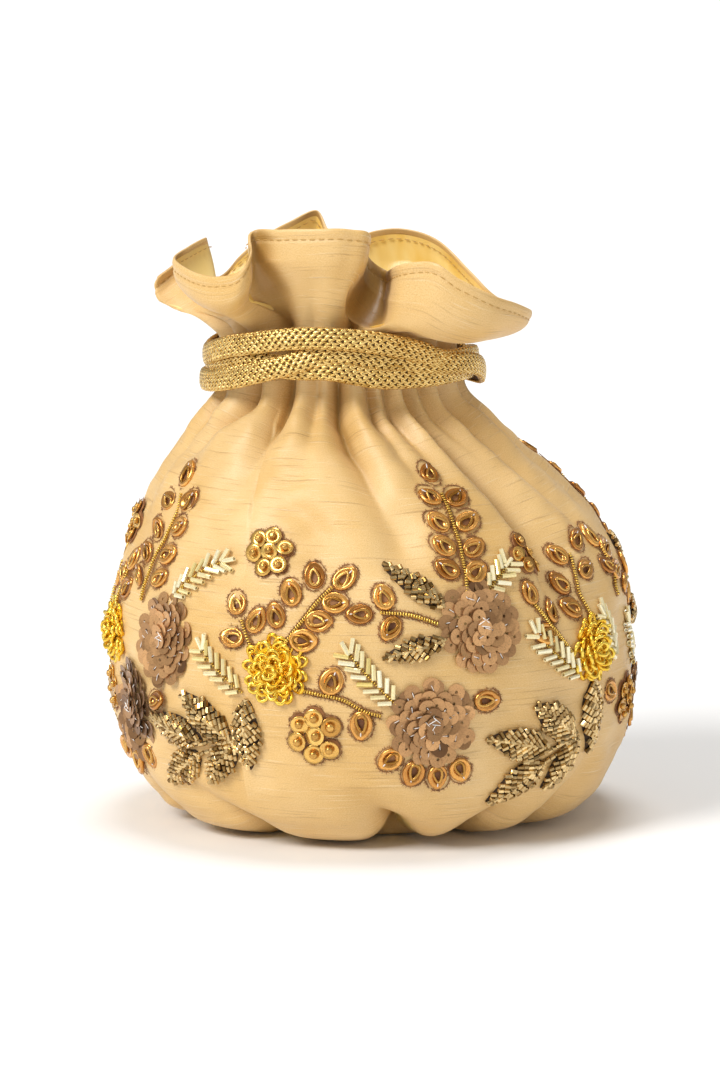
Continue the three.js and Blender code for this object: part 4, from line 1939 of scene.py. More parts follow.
@dataclass
class Drawcord:
    """A flat knitted cord that goes round the neck three times, with its knot and tails.

    Attributes:
        shape: The pouch's shape.
        width: The cord's width.
        thickness: The cord's thickness.
        wales: The columns of knitting across each face.
        pitch: From one knitted loop to the next, along the cord.
        slant: How far the knitted legs lean, in degrees.
        route: The way that the cord takes round the neck.
        knot_direction: Where its ends are tied, in degrees from the front.
    """

    shape: PouchShape
    width: float = 6.6
    thickness: float = 2.9
    wales: int = 4
    pitch: float = 2.3
    slant: float = 24.0
    route: tuple[tuple[float, float, float], ...] = (
        # turned round the neck, height of its middle, lift from the neck
        (-151, 143.4, 5.2), (-135, 143, 2.8), (-90, 142, 1.6), (-60, 144, 1.6), (-40, 146.2, 1.8),
        (-22, 144.6, 2.0), (-5, 144.6, 2.8), (15, 142.1, 3.2), (40, 141.8, 2.8), (60, 142.2, 2.0),
        (75, 142.2, 1.6), (110, 144, 1.6), (150, 146, 1.8), (205, 147, 2.0), (245, 147.5, 2.4),
        (270, 145.7, 2.4), (315, 151.1, 4.2), (350, 154.3, 5.4), (380, 152, 5.4), (395, 149, 4.2),
        (405, 146.5, 3.6), (425, 146, 2.6), (450, 145, 2.2), (480, 143, 2.0), (520, 141, 1.8),
        (565, 139.5, 2.2), (600, 138.5, 2.8), (630, 137.8, 3.4), (670, 140.6, 3.8),
        (695, 145.2, 4.4), (715, 148.9, 3.0), (740, 146.8, 2.8), (765, 145.5, 3.8),
        (790, 143.7, 4.8), (810, 139.7, 4.4), (850, 139.5, 3.6), (890, 142, 4.6), (929, 143.4, 6.0),
    )
    knot_direction: float = 209.0

    def build(self) -> list[bpy.types.Object]:
        """Makes the cord, its knot, its tails and their stopper knots.

        Returns:
            The pieces.
        """
        centre, out = self._centre()
        made = []
        # painted shade: the near-black core shows in the gaps of the knitting as their shade
        core = self._ribbon("cord_core", centre, out, self.width - 0.9, self.thickness - 0.9)
        core.data.materials.append(Finish.CORE.material())
        keep(core, ["drawcord"])
        made.append(core)
        places = self._stitch_places(centre, out, self.width, self.thickness)
        parts = 2
        for i in range(parts):
            share = slice(i * len(places[0]) // parts, (i + 1) * len(places[0]) // parts)
            made.append(self._knitting(f"cord_knitting_{i + 1}", [values[share] for values in places]))
        made += self._tied_ends()
        return made

    def _centre(self) -> tuple[Array, Array]:
        """Follows the route in even steps.

        Returns:
            The cord's middle and the outward direction, at each step.
        """
        curve = Curve(self.route)
        turned = np.linspace(self.route[0][0], self.route[-1][0], 1700)
        read = curve(turned)
        angle = np.radians(turned)
        out = np.stack([np.sin(angle), -np.cos(angle), np.zeros(len(angle))], axis=1)
        radius = self.shape.neck_radius - 0.4 + read[:, 1]
        centre = out * radius[:, None]
        centre[:, 0] += self.shape.neck_x
        centre[:, 2] = read[:, 0]
        length = run_along(centre)
        even = np.linspace(0, length[-1], int(length[-1] / (self.pitch / 2)))
        centre = np.stack([np.interp(even, length, centre[:, k]) for k in range(3)], axis=1)
        out = unit(np.stack([np.interp(even, length, out[:, k]) for k in range(3)], axis=1))
        return centre, out

    def _section(self, width: float, thickness: float, count: int) -> tuple[Array, Array]:
        """Goes round the cord's flattened section.

        Args:
            width: The section's width.
            thickness: Its thickness.
            count: How many points.

        Returns:
            The points, across and out, and the outward directions there.
        """
        fine = np.linspace(0, 2 * math.pi, 721)
        power = 0.84
        across = np.sign(np.cos(fine)) * np.abs(np.cos(fine)) ** power * width / 2
        out = np.sign(np.sin(fine)) * np.abs(np.sin(fine)) ** power * thickness / 2
        length = np.concatenate([[0], np.cumsum(np.hypot(np.diff(across), np.diff(out)))])
        even = (np.arange(count) + 0.5) / count * length[-1]
        points = np.stack([np.interp(even, length, across), np.interp(even, length, out)], axis=1)
        after = np.stack(
            [np.interp(even + 0.05, length, across), np.interp(even + 0.05, length, out)], axis=1
        )
        along = unit(after - points)
        return points, np.stack([along[:, 1], -along[:, 0]], axis=1)

    def _ribbon(
        self, name: str, centre: Array, out: Array, width: float, thickness: float
    ) -> bpy.types.Object:
        """Makes the cord's plain inside.

        Args:
            name: The piece's name.
            centre: The cord's middle.
            out: The outward direction at each point.
            width: Its width.
            thickness: Its thickness.

        Returns:
            The piece, without a finish.
        """
        along = unit(np.gradient(centre, axis=0))
        across = unit(np.cross(out, along))
        lift = np.cross(along, across)
        section, _ = self._section(width, thickness, 14)
        points = (
            centre[:, None] + across[:, None] * section[None, :, :1]
            + lift[:, None] * section[None, :, 1:]
        )
        count, sides = len(centre), len(section)
        faces = [list(f) for f in grid_faces(count, sides)]
        faces.append(list(range(sides))[::-1])
        faces.append([(count - 1) * sides + k for k in range(sides)])
        mesh = mesh_from(name, points.reshape(-1, 3) * MM, faces)
        write_number(mesh, "tint", np.full(count * sides, 0.5))
        return object_from(mesh)

    def _stitch_places(
        self, centre: Array, out: Array, width: float, thickness: float, hidden: bool = True
    ) -> tuple[Array, Array, Array, Array, Array]:
        """Places the slanted legs of the knitting all round the cord.

        Args:
            centre: The cord's middle, in even steps of half a loop.
            out: The outward direction at each point.
            width: The cord's width.
            thickness: The cord's thickness.
            hidden: True where the cord's inner face can't be seen, and isn't knitted.

        Returns:
            The middles, the crosswise, lengthwise and outward directions, and the tints.
        """
        along = unit(np.gradient(centre, axis=0))
        across = unit(np.cross(out, along))
        lift = np.cross(along, across)
        wales = 2 * self.wales + 4
        section, facing = self._section(width - 0.5, thickness - 0.5, 2 * wales)
        steps = np.arange(0, len(centre), 2)
        draw = np.random.default_rng(SEED + 5)
        points, rights, alongs, outs, tints = [], [], [], [], []
        for k in range(2 * wales):
            if facing[k, 1] < -0.6 and hidden:
                continue
            side = 1 if k % 2 else -1
            wale = k // 2
            rows = steps[:-1] + (wale % 2)
            at = centre[rows] + across[rows] * section[k, 0] + lift[rows] * section[k, 1]
            face = across[rows] * facing[k, 0] + lift[rows] * facing[k, 1]
            round_it = np.cross(face, along[rows])
            slant = side * math.radians(self.slant) + draw.normal(0, 0.07, len(rows))
            lean = along[rows] * np.cos(slant)[:, None] - round_it * np.sin(slant)[:, None]
            points.append(at)
            alongs.append(lean)
            rights.append(np.cross(lean, face))
            outs.append(face)
            tints.append(shades(draw, 0.55, 0.22, len(rows)))
        order = np.argsort(np.concatenate([steps[:-1]] * len(points)), kind="stable")
        return tuple(np.concatenate(part)[order] for part in (points, rights, alongs, outs, tints))

    def _knitting(self, name: str, places: Sequence[Array]) -> bpy.types.Object:
        """Sets the knitted legs.

        Args:
            name: The piece's name.
            places: The middles, directions and tints.

        Returns:
            The piece.
        """
        points, right, along, out, tint = places
        settings = Settings()
        settings.add(points, right, along, out, np.array([1.0, 1.0, 0.8]), tint)
        leg = spindle("leg", radius=0.46, length=3.0, sides=6, fullness=0.6)
        return keep(settings.make(name, leg, Finish.KNIT, 0.06))

    def _tied_ends(self) -> list[bpy.types.Object]:
        """Makes the knot at the back, its two tails and their stopper knots.

        Returns:
            The pieces.
        """
        made = []
        low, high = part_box("cord_knot")
        middle = (np.array(low) + np.array(high)) / 2 / MM
        angle = math.radians(self.knot_direction)
        out = np.array([math.sin(angle), -math.cos(angle), 0.0])
        right = np.array([math.cos(angle), math.sin(angle), 0.0])
        turn = np.linspace(0, 2 * math.pi, 60)[:, None]
        loop_reach, loop_rise = 5.4, 2.7
        loop = (
            middle + right * loop_reach * np.cos(turn) + UP * loop_rise * np.sin(turn)
            + out * (0.9 * np.sin(2 * turn) - 0.4)
        )
        wrap_reach, wrap_rise = 1.6, 3.7
        wrap = (
            middle + right * wrap_reach * np.cos(turn) + UP * wrap_rise * np.sin(turn)
            + out * (1.3 + wrap_reach * np.cos(turn))
        )
        made += self._dressed(
            "cord_knot_loop", loop, unit(loop - middle + out * 3), 4.2, 2.6, ["cord_knot"]
        )
        made += self._dressed("cord_knot_wrap", wrap, unit(wrap - middle + out * 2), 4.2, 2.4, [])
        for side, word in ((-1, "left"), (1, "right")):
            tail_low, tail_high = (np.array(c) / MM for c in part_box(f"cord_tail_{word}"))
            stop_low, stop_high = (np.array(c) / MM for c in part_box(f"stopper_knot_{word}"))
            end = (stop_low + stop_high) / 2
            start = middle + right * side * 2.0 + out * 0.6 - UP * 3.0
            lower = np.array([end[0], end[1], tail_low[2]])
            made += self._tail(word, start, lower, end, tail_high[2])
        return made

    def _tail(
        self, word: str, start: Array, foot: Array, stopper: Array, top: float
    ) -> list[bpy.types.Object]:
        """Makes one tail that hangs on the cloth, and its stopper knot.

        Args:
            word: Which tail it is.
            start: Where it leaves the knot.
            foot: Where it ends.
            stopper: The stopper knot's middle.
            top: The height where it meets the cloth.

        Returns:
            The pieces.
        """
        share = np.linspace(0, 1, 60)[:, None]
        line = start * (1 - share) + foot * share
        direction = np.degrees(np.arctan2(line[:, 0] - self.shape.neck_x * 0.6, -line[:, 1]))
        below = np.minimum(line[:, 2], self.shape.neck_low - 0.5)
        lying, _, _, facing = self.shape.body_frame(direction, below)
        smoothed = lying.copy()
        for _ in range(12):
            smoothed[1:-1] = evened(smoothed)
        off_cloth = 2.6
        resting = smoothed + facing * off_cloth
        resting[:, 2] = line[:, 2]
        blend = smooth_step(line[:, 2:3], self.shape.neck_low - 2, top + 3)
        path = resting * (1 - blend) + line * blend
        for _ in range(10):
            path[1:-1] = evened(path)
        made = self._dressed(f"cord_tail_{word}_knit", path, facing, 4.4, 2.4, [f"cord_tail_{word}"])
        turn = np.linspace(0, 2 * math.pi, 40)[:, None]
        out = facing[-1]
        across = unit(np.cross(out, UP))
        ring = stopper + across * 1.7 * np.cos(turn) + np.array([0.0, 0.0, 1.35]) * np.sin(turn)
        ring = ring + out * 0.5 * np.cos(turn * 2)
        made += self._dressed(
            f"stopper_{word}_knit", ring, unit(ring - stopper + out * 1.2), 3.0, 2.2,
            [f"stopper_knot_{word}"]
        )
        return made

    def _dressed(
        self, name: str, path: Array, out: Array, width: float, thickness: float, nodes: Sequence[str]
    ) -> list[bpy.types.Object]:
        """Makes a stretch of the same knitted cord.

        Args:
            name: The piece's name.
            path: Its middle.
            out: The outward direction at each point.
            width: Its width there.
            thickness: Its thickness there.
            nodes: The construction nodes that it stands for.

        Returns:
            The core and its knitting.
        """
        length = run_along(path)
        even = np.linspace(0, length[-1], max(8, int(length[-1] / (self.pitch / 2))))
        path = np.stack([np.interp(even, length, path[:, k]) for k in range(3)], axis=1)
        out = unit(np.stack([np.interp(even, length, out[:, k]) for k in range(3)], axis=1))
        along = unit(np.gradient(path, axis=0))
        out = unit(out - along * (out * along).sum(axis=1, keepdims=True))
        # painted shade: the near-black core shows in the gaps of the knitting as their shade
        core = self._ribbon(f"{name}_core", path, out, width - 0.7, thickness - 0.7)
        core.data.materials.append(Finish.CORE.material())
        keep(core, nodes)
        wales = self.wales
        self.wales = max(3, round(wales * width / self.width))
        knitted = self._knitting(name, self._stitch_places(path, out, width, thickness))
        self.wales = wales
        return [core, knitted]


# ---------------------------------------------------------------- the embroidery

Spot = tuple[float, float]
Frame = tuple[Array, Array, Array, Array]


@dataclass
class Ground:
    """The silk as it is sewn, measured in millimetres from any spot on it.

    Attributes:
        shape: The pouch's shape.
        turned: How far round the bag every spot is moved, in degrees.
    """

    shape: PouchShape
    turned: float = 0.0

    def at(self, spot: Spot, right: Array = 0.0, up: Array = 0.0) -> Frame:
        """Finds places on the cloth.

        Args:
            spot: The direction and height of the place to measure from.
            right: How far to its right, in millimetres along the cloth.
            up: How far above it.

        Returns:
            The points, and the rightward, upward and outward directions there.
        """
        right, up = np.broadcast_arrays(np.asarray(right, float), np.asarray(up, float))
        height = np.maximum(spot[1] + up * self._slope(spot), 3.0)
        radius = self.shape.profile(height)[..., 0]
        direction = spot[0] + self.turned + np.degrees(right / radius)
        return self.shape.body_frame(np.atleast_1d(direction), np.atleast_1d(height))

    def span(self, spot: Spot, other: Spot) -> Array:
        """Measures from one spot to another, rightwards and upwards, in millimetres.

        Args:
            spot: The first spot.
            other: The second spot.

        Returns:
            The two distances.
        """
        middle = (spot[1] + other[1]) / 2
        radius = float(self.shape.profile(np.array(middle))[0])
        right = math.radians(other[0] - spot[0]) * radius
        return np.array([right, (other[1] - spot[1]) / self._slope((spot[0], middle))])

    def _slope(self, spot: Spot) -> float:
        """Measures how much height a millimetre of cloth gains there.

        Args:
            spot: The spot.

        Returns:
            The gain, in millimetres.
        """
        ends = self.shape.plain(
            np.array([spot[0]] * 2), np.array([max(spot[1] - 1.0, 0.0), spot[1] + 1.0])
        )
        return float((ends[1, 2] - ends[0, 2]) / np.linalg.norm(ends[1] - ends[0]))


class Kind(Enum):
    """The small things that are sewn on."""

    SEQUIN = "sequins"
    CLEAR_STITCH = "sequin_stitches"
    WIRE_LOOP = "wire_loops"
    FOIL_LEAF = "foil_leaves"
    LEAF_LOOP = "leaf_loops"
    PALE_STITCH = "pale_stitches"
    EDGING = "brown_edging"
    CUP = "berry_cups"
    CUP_BEAD = "berry_beads"
    BUGLE = "tube_beads"
    CUT_BEAD = "cut_beads"
    PATCH = "felt_patches"
    WIRE_PAD = "wire_beds"


def leaned(frame: Frame, toward: Array, amount: Array) -> Frame:
    """Leans a frame's outward direction over.

    Args:
        frame: The frame.
        toward: Where to lean it, in degrees from upwards to the right.
        amount: How far, as the tangent of the angle.

    Returns:
        The leaned frame.
    """
    points, right, up, out = frame
    turn = np.radians(np.broadcast_to(toward, (len(points),)))[:, None]
    over = (up * np.cos(turn) + right * np.sin(turn)) * np.broadcast_to(amount, (len(points),))[:, None]
    tipped = unit(out + over)
    level = unit(right - tipped * (right * tipped).sum(axis=1, keepdims=True))
    return points, level, np.cross(tipped, level), tipped


class Worktable:
    """Gathers the small things as the motifs are worked, then makes each kind as one piece."""

    def __init__(self) -> None:
        """Starts with nothing worked."""
        self.draw = np.random.default_rng(SEED + 20)
        self.kinds = {kind: Settings() for kind in Kind}
        self.stems: list[Array] = []
        self.veins: list[Array] = []
        self.pads: list[Array] = []

    def sew(
        self, kind: Kind, frame: Frame, angle: Array, tilt: Array = 0.0, roll: Array = 0.0,
        lift: Array = 0.0, stretch: Array = 1.0, tint: Array = 0.5
    ) -> None:
        """Sews things of one kind on.

        Args:
            kind: Which kind.
            frame: Where they go.
            angle: Where each one's length points, in degrees from upwards to the right.
            tilt: How far its far end is raised, in degrees.
            roll: How far its right side is raised, in degrees.
            lift: How far it stands off the cloth.
            stretch: How much longer it is along its own axes.
            tint: How light it is.
        """
        points, right, up, out = frame
        count = len(points)
        turn, rise, bank = (
            np.radians(np.broadcast_to(a, (count,)))[:, None] for a in (angle, tilt, roll)
        )
        flat = up * np.cos(turn) + right * np.sin(turn)
        side = right * np.cos(turn) - up * np.sin(turn)
        along = flat * np.cos(rise) + out * np.sin(rise)
        face = np.cross(side, along)
        banked = side * np.cos(bank) + face * np.sin(bank)
        off = np.broadcast_to(lift, (count,))[:, None]
        self.kinds[kind].add(points + out * off, banked, along, np.cross(banked, along), stretch, tint)

    def edge(self, frame: Frame, angle: Array, lift: float = 0.35) -> None:
        """Sews brown thread along an outline, with loose ends that stick out.

        Args:
            frame: Places on the outline.
            angle: The outline's outward direction at each.
            lift: How far the thread stands off the cloth.
        """
        count = len(frame[0])
        along = angle + 90 + self.draw.normal(0, 14, count)
        self.sew(Kind.EDGING, frame, along, lift=lift, tint=self.draw.uniform(0.1, 0.9, count))
        points, right, up, out = frame
        turn = np.radians(angle)[:, None]
        outward = points + (up * np.cos(turn) + right * np.sin(turn)) * 0.25
        loose = (outward, right, up, out)
        stray = angle + self.draw.normal(0, 34, count)
        length = np.stack(
            [np.full(count, 0.7), self.draw.uniform(0.4, 0.8, count), np.full(count, 0.7)], axis=1
        )
        self.sew(
            Kind.EDGING, loose, stray, tilt=self.draw.uniform(-4, 22, count), lift=lift, stretch=length,
            tint=self.draw.uniform(0.2, 1.0, count)
        )


@dataclass(frozen=True)
class SequinFlower:
    """A domed flower of overlapping sequins.

    Attributes:
        spot: Its middle.
        radius: Half its width.
        tall: Its height over its width.
        light: The mean tint of its sequins.
        rings: Share of the radius, count, lift and tilt of each ring, from the outside in.
    """

    spot: Spot
    radius: float = 13.0
    tall: float = 1.0
    light: float = 0.55
    rings: tuple[tuple[float, int, float, float], ...] = (
        (0.84, 19, 0.5, 5), (0.63, 15, 0.95, 8), (0.42, 11, 1.4, 9), (0.21, 6, 1.85, 8),
        (0.0, 1, 2.3, 3)
    )

    def work(self, ground: Ground, table: Worktable) -> None:
        """Sews the flower on.

        Args:
            ground: Where the cloth lies.
            table: Where the stitches and beads are kept.
        """
        draw = table.draw
        for share, count, lift, tilt in self.rings:
            turn = draw.uniform(0, 360) + np.arange(count) * 360 / count + draw.normal(0, 5, count)
            reach = self.radius * share * (1 + draw.normal(0, 0.035, count))
            right, up = polar(reach, turn)
            frame = ground.at(self.spot, right, up * self.tall)
            tint = np.clip(self.light + draw.normal(0, 0.27, count), 0, 1)
            raised = tilt + draw.normal(0, 3, count)
            banked = 6 + draw.normal(0, 3, count)
            table.sew(
                Kind.SEQUIN, frame, turn, raised, banked, lift + draw.uniform(0, 0.3, count), 1.0, tint
            )
            few = draw.random(count) < 0.5
            held = tuple(part[few] for part in frame)
            inward = turn[few] + 180 + draw.normal(0, 30, int(few.sum()))
            shifted = (held[0] + self._toward(held, inward) * 0.8, *held[1:])
            table.sew(
                Kind.CLEAR_STITCH, shifted, inward, tilt=4, lift=lift + 0.62,
                tint=draw.random(int(few.sum()))
            )
        frame = ground.at(self.spot, np.array([0.3, -0.8, 0.5]), np.array([0.2, 1.2, 1.6]))
        table.sew(
            Kind.CLEAR_STITCH, frame, np.array([100, 62, 130]), lift=2.9, stretch=(1.2, 1.5, 1.2),
            tint=1.0
        )

    @staticmethod
    def _toward(frame: Frame, angle: Array) -> Array:
        """Returns the directions on the cloth at those angles."""
        turn = np.radians(angle)[:, None]
        return frame[2] * np.cos(turn) + frame[1] * np.sin(turn)


@dataclass(frozen=True)
class WireFlower:
    """A flower of looped bullion wire.

    Attributes:
        spot: Its middle.
        radius: Half its width.
        rings: Share of the radius, count, lift and tilt of each ring of loops.
    """

    spot: Spot
    radius: float = 10.7
    rings: tuple[tuple[float, int, float, float], ...] = (
        (0.79, 14, 0.5, 8), (0.60, 12, 1.0, 18), (0.41, 9, 1.5, 26), (0.22, 6, 2.0, 32),
        (0.05, 3, 2.5, 40)
    )

    def work(self, ground: Ground, table: Worktable) -> None:
        """Sews the flower on.

        Args:
            ground: Where the cloth lies.
            table: Where the stitches and beads are kept.
        """
        draw = table.draw
        bed = ground.at(self.spot, np.zeros(1), np.zeros(1))
        table.sew(
            Kind.WIRE_PAD, bed, 0, lift=0.3, stretch=(self.radius * 0.72, self.radius * 0.72, 1.0),
            tint=0.0
        )
        for share, count, lift, tilt in self.rings:
            turn = draw.uniform(0, 360) + np.arange(count) * 360 / count + draw.normal(0, 6, count)
            reach = self.radius * share * (1 + draw.normal(0, 0.05, count))
            right, up = polar(reach, turn)
            frame = ground.at(self.spot, right, up)
            stretch = np.stack(
                [draw.uniform(0.85, 1.15, count), draw.uniform(0.9, 1.15, count), np.ones(count)],
                axis=1
            )
            table.sew(
                Kind.WIRE_LOOP, frame, turn + draw.normal(0, 16, count),
                tilt + draw.normal(0, 7, count), draw.normal(0, 14, count), lift, stretch,
                shades(draw, 0.6, 0.25, count)
            )


@dataclass(frozen=True)
class Berries:
    """A cluster of seven shining cups, each with a bead in it.

    Attributes:
        spot: Its middle.
        radius: Half its width.
        light: The mean tint of its cups.
        start: Where the first cup of the ring lies, in degrees.
        usual_radius: Half the width of a cluster whose cups have their usual size.
    """

    spot: Spot
    radius: float = 7.6
    light: float = 0.65
    start: float = 18.0
    usual_radius: float = 7.6

    def work(self, ground: Ground, table: Worktable) -> None:
        """Sews the cluster on.

        Args:
            ground: Where the cloth lies.
            table: Where the stitches and beads are kept.
        """
        draw = table.draw
        around = 6
        cups = around + 1
        size = self.radius / self.usual_radius
        turn = self.start + np.arange(around) * 360 / around + draw.normal(0, 4, around)
        right, up = polar(self.radius - 2.5 * size, turn)
        right, up = np.append(right, 0.3), np.append(up, 0.2)
        frame = ground.at(self.spot, right, up)
        tint = np.clip(self.light + draw.normal(0, 0.22, cups), 0, 1)
        lean = draw.normal(0, 7, cups)
        bed = (3.0 * size, 3.0 * size, 1.0)
        table.sew(Kind.PATCH, frame, 0, lift=0.1, stretch=bed, tint=draw.random(cups))
        table.sew(Kind.CUP, frame, 0, lean, draw.normal(0, 7, cups), 0.3, 1.1 * size, tint)
        table.sew(
            Kind.CUP_BEAD, frame, draw.uniform(0, 90, cups), lean, lift=0.8 * size,
            stretch=1.15 * size, tint=1 - tint * 0.6
        )
        stitches = 10
        for k in range(around):
            arc = turn[k] + np.linspace(-95, 95, stitches) + draw.normal(0, 5, stitches)
            aside, above = polar(3.15 * size, arc)
            table.edge(ground.at(self.spot, right[k] + aside, up[k] + above), arc, 0.3)


def sew_leaves(
    table: Worktable, ground: Ground, spot: Spot, right: Array, up: Array, angle: Array, size: Array
) -> None:
    """Sews foil leaves on, each on a felt patch, with a loop of wire and a brown edge.

    Args:
        table: Where the work is gathered.
        ground: The cloth.
        spot: The spot that the leaves are measured from.
        right: How far to its right each leaf's middle lies.
        up: How far above it.
        angle: Where each leaf's tip points.
        size: How large each one is.
    """
    draw = table.draw
    count = len(right)
    frame = ground.at(spot, right, up)
    width = size * draw.uniform(0.9, 1.06, count)
    stretch = np.stack([width, size, size], axis=1)
    tint = shades(draw, 0.6, 0.24, count)
    tilt, roll = draw.normal(0, 5, count), draw.normal(0, 7, count)
    table.sew(Kind.FOIL_LEAF, frame, angle, tilt, roll, 0.12, stretch, tint)
    turn = np.radians(angle)
    oval = np.stack([2.6 * width, 3.2 * size, np.ones(count)], axis=1)
    table.sew(Kind.PATCH, frame, angle, 0, 0, 0.1, oval, draw.random(count))
    for kind, along, lift, extra in (
        (Kind.LEAF_LOOP, -0.35, 0.85, 3.0), (Kind.PALE_STITCH, 2.3, 1.0, 6.0)
    ):
        aside, above = polar(along * size, angle)
        placed = ground.at(spot, right + aside, up + above)
        bent = angle + draw.normal(0, 7, count)
        shade = shades(draw, 0.5, 0.25, count)
        whole = np.stack([size] * 3, axis=1)
        table.sew(kind, placed, bent, extra - 4, draw.normal(0, 8, count), lift * size, whole, shade)
    for k in range(count):
        around = np.arange(0, 360, 15.0) + draw.normal(0, 5, 24)
        swing = np.radians(around)
        x, y = 3.6 * width[k] * np.sin(swing), 4.4 * size[k] * np.cos(swing) + 0.3
        turned = turn[k]
        rim = ground.at(
            spot,
            right[k] + x * math.cos(turned) + y * math.sin(turned),
            up[k] + y * math.cos(turned) - x * math.sin(turned),
        )
        table.edge(rim, around + angle[k], 0.3)


@dataclass(frozen=True)
class Sprig:
    """A couched stem with foil leaves along it.

    Attributes:
        stem: The spots that the stem passes through.
        leaves: The middles of its leaves.
        size: The leaves' size.
        forward: How much the leaves lean along the stem.
    """

    stem: tuple[Spot, ...]
    leaves: tuple[Spot, ...]
    size: float = 1.0
    forward: float = 0.8

    def work(self, ground: Ground, table: Worktable) -> None:
        """Sews the sprig on.

        Args:
            ground: Where the cloth lies.
            table: Where the stitches and beads are kept.
        """
        first = self.stem[0]
        marks = np.array([ground.span(first, spot) for spot in self.stem])
        length = run_along(marks)
        curve = Curve(np.column_stack([length, marks]))
        path = curve(np.linspace(0, length[-1], max(6, int(length[-1] / 0.6))))
        if len(self.stem) > 1:
            points, _, _, out = ground.at(first, path[:, 0], path[:, 1])
            table.stems.append(points + out * 0.62)
            self._couch(ground, table, path)
        heading = np.gradient(path, axis=0) if len(path) > 1 else np.array([[0.0, 1.0]])
        heading /= np.maximum(np.linalg.norm(heading, axis=1, keepdims=True), 1e-9)
        middles = np.array([ground.span(first, spot) for spot in self.leaves])
        away = middles[:, None] - path[None]
        nearest = np.linalg.norm(away, axis=2).argmin(axis=1)
        outward = unit(away[np.arange(len(middles)), nearest])
        aim = outward + self.forward * heading[nearest]
        angle = headings(aim)
        size = self.size * table.draw.uniform(0.92, 1.05, len(middles))
        sew_leaves(table, ground, first, middles[:, 0], middles[:, 1], angle, size)

    def _couch(self, ground: Ground, table: Worktable, path: Array) -> None:
        """Sews brown thread along both sides of the stem.

        Args:
            ground: Where the cloth lies.
            table: Where the stitches and beads are kept.
            path: The stem's points, in millimetres.
        """
        every = path[::2]
        heading = np.gradient(every, axis=0)
        angle = headings(heading)
        stem_radius = 0.85
        for way in (-1, 1):
            aside, above = polar(way * stem_radius, angle + 90)
            right, up = every[:, 0] + aside, every[:, 1] + above
            table.edge(ground.at(self.stem[0], right, up), angle + 90 * way, 0.22)


@dataclass(frozen=True)
class FoilLeaf:
    """One foil leaf by itself.

    Attributes:
        spot: Its middle.
        angle: Where its tip points, in degrees from upwards to the right.
        size: Its size.
    """

    spot: Spot
    angle: float
    size: float = 1.0

    def work(self, ground: Ground, table: Worktable) -> None:
        """Sews the leaf on."""
        one = np.zeros(1)
        sew_leaves(table, ground, self.spot, one, one, one + self.angle, one + self.size)


@dataclass(frozen=True)
class BugleLeaf:
    """A feather of tube beads on both sides of a couched vein.

    Attributes:
        vein: The spots that the vein passes through, from its foot.
        pairs: How many beads there are on each side.
        length: The length of a bead over the usual one.
        spread: The angle between the beads and the vein.
    """

    vein: tuple[Spot, ...]
    pairs: int = 7
    length: float = 1.0
    spread: float = 44.0

    def work(self, ground: Ground, table: Worktable) -> None:
        """Sews the feather on.

        Args:
            ground: Where the cloth lies.
            table: Where the stitches and beads are kept.
        """
        draw = table.draw
        first = self.vein[0]
        marks = np.array([ground.span(first, spot) for spot in self.vein])
        run = run_along(marks)
        curve = Curve(np.column_stack([run, marks]))
        whole = run[-1]
        path = curve(np.linspace(0, whole - 2.6, max(8, int(whole / 0.8))))
        points, _, _, out = ground.at(first, path[:, 0], path[:, 1])
        table.veins.append(points + out * 0.45)
        at = np.linspace(0.02, 0.80, self.pairs) * whole
        for way in (-1, 1):
            foot = curve(np.minimum(at + (0.6 if way > 0 else 0.0), whole))
            ahead = curve(np.minimum(at + 1.0, whole)) - curve(np.maximum(at - 1.0, 0))
            heading = headings(ahead)
            angle = heading + way * (self.spread + draw.normal(0, 4, self.pairs))
            size = self.length * np.interp(at / whole, [0, 0.2, 0.7, 1], [0.86, 1.0, 1.0, 0.9])
            reach = 2.4 * size + 0.75
            aside, above = polar(reach, angle)
            right, up = foot[:, 0] + aside, foot[:, 1] + above
            stretch = np.stack([np.ones(self.pairs), size, np.ones(self.pairs)], axis=1)
            table.sew(
                Kind.BUGLE, ground.at(first, right, up), angle, draw.normal(-3, 3, self.pairs),
                draw.uniform(0, 45, self.pairs), 0.95, stretch, shades(draw, 0.6, 0.25, self.pairs)
            )
        last = curve(np.array([whole - 1.4, whole]))
        heading = math.degrees(math.atan2(*(last[1] - last[0])))
        tip = ground.at(first, last[:1, 0], last[:1, 1])
        table.sew(Kind.BUGLE, tip, heading + 6, 0, 20, 0.95, (1, 0.9 * self.length, 1), 0.8)


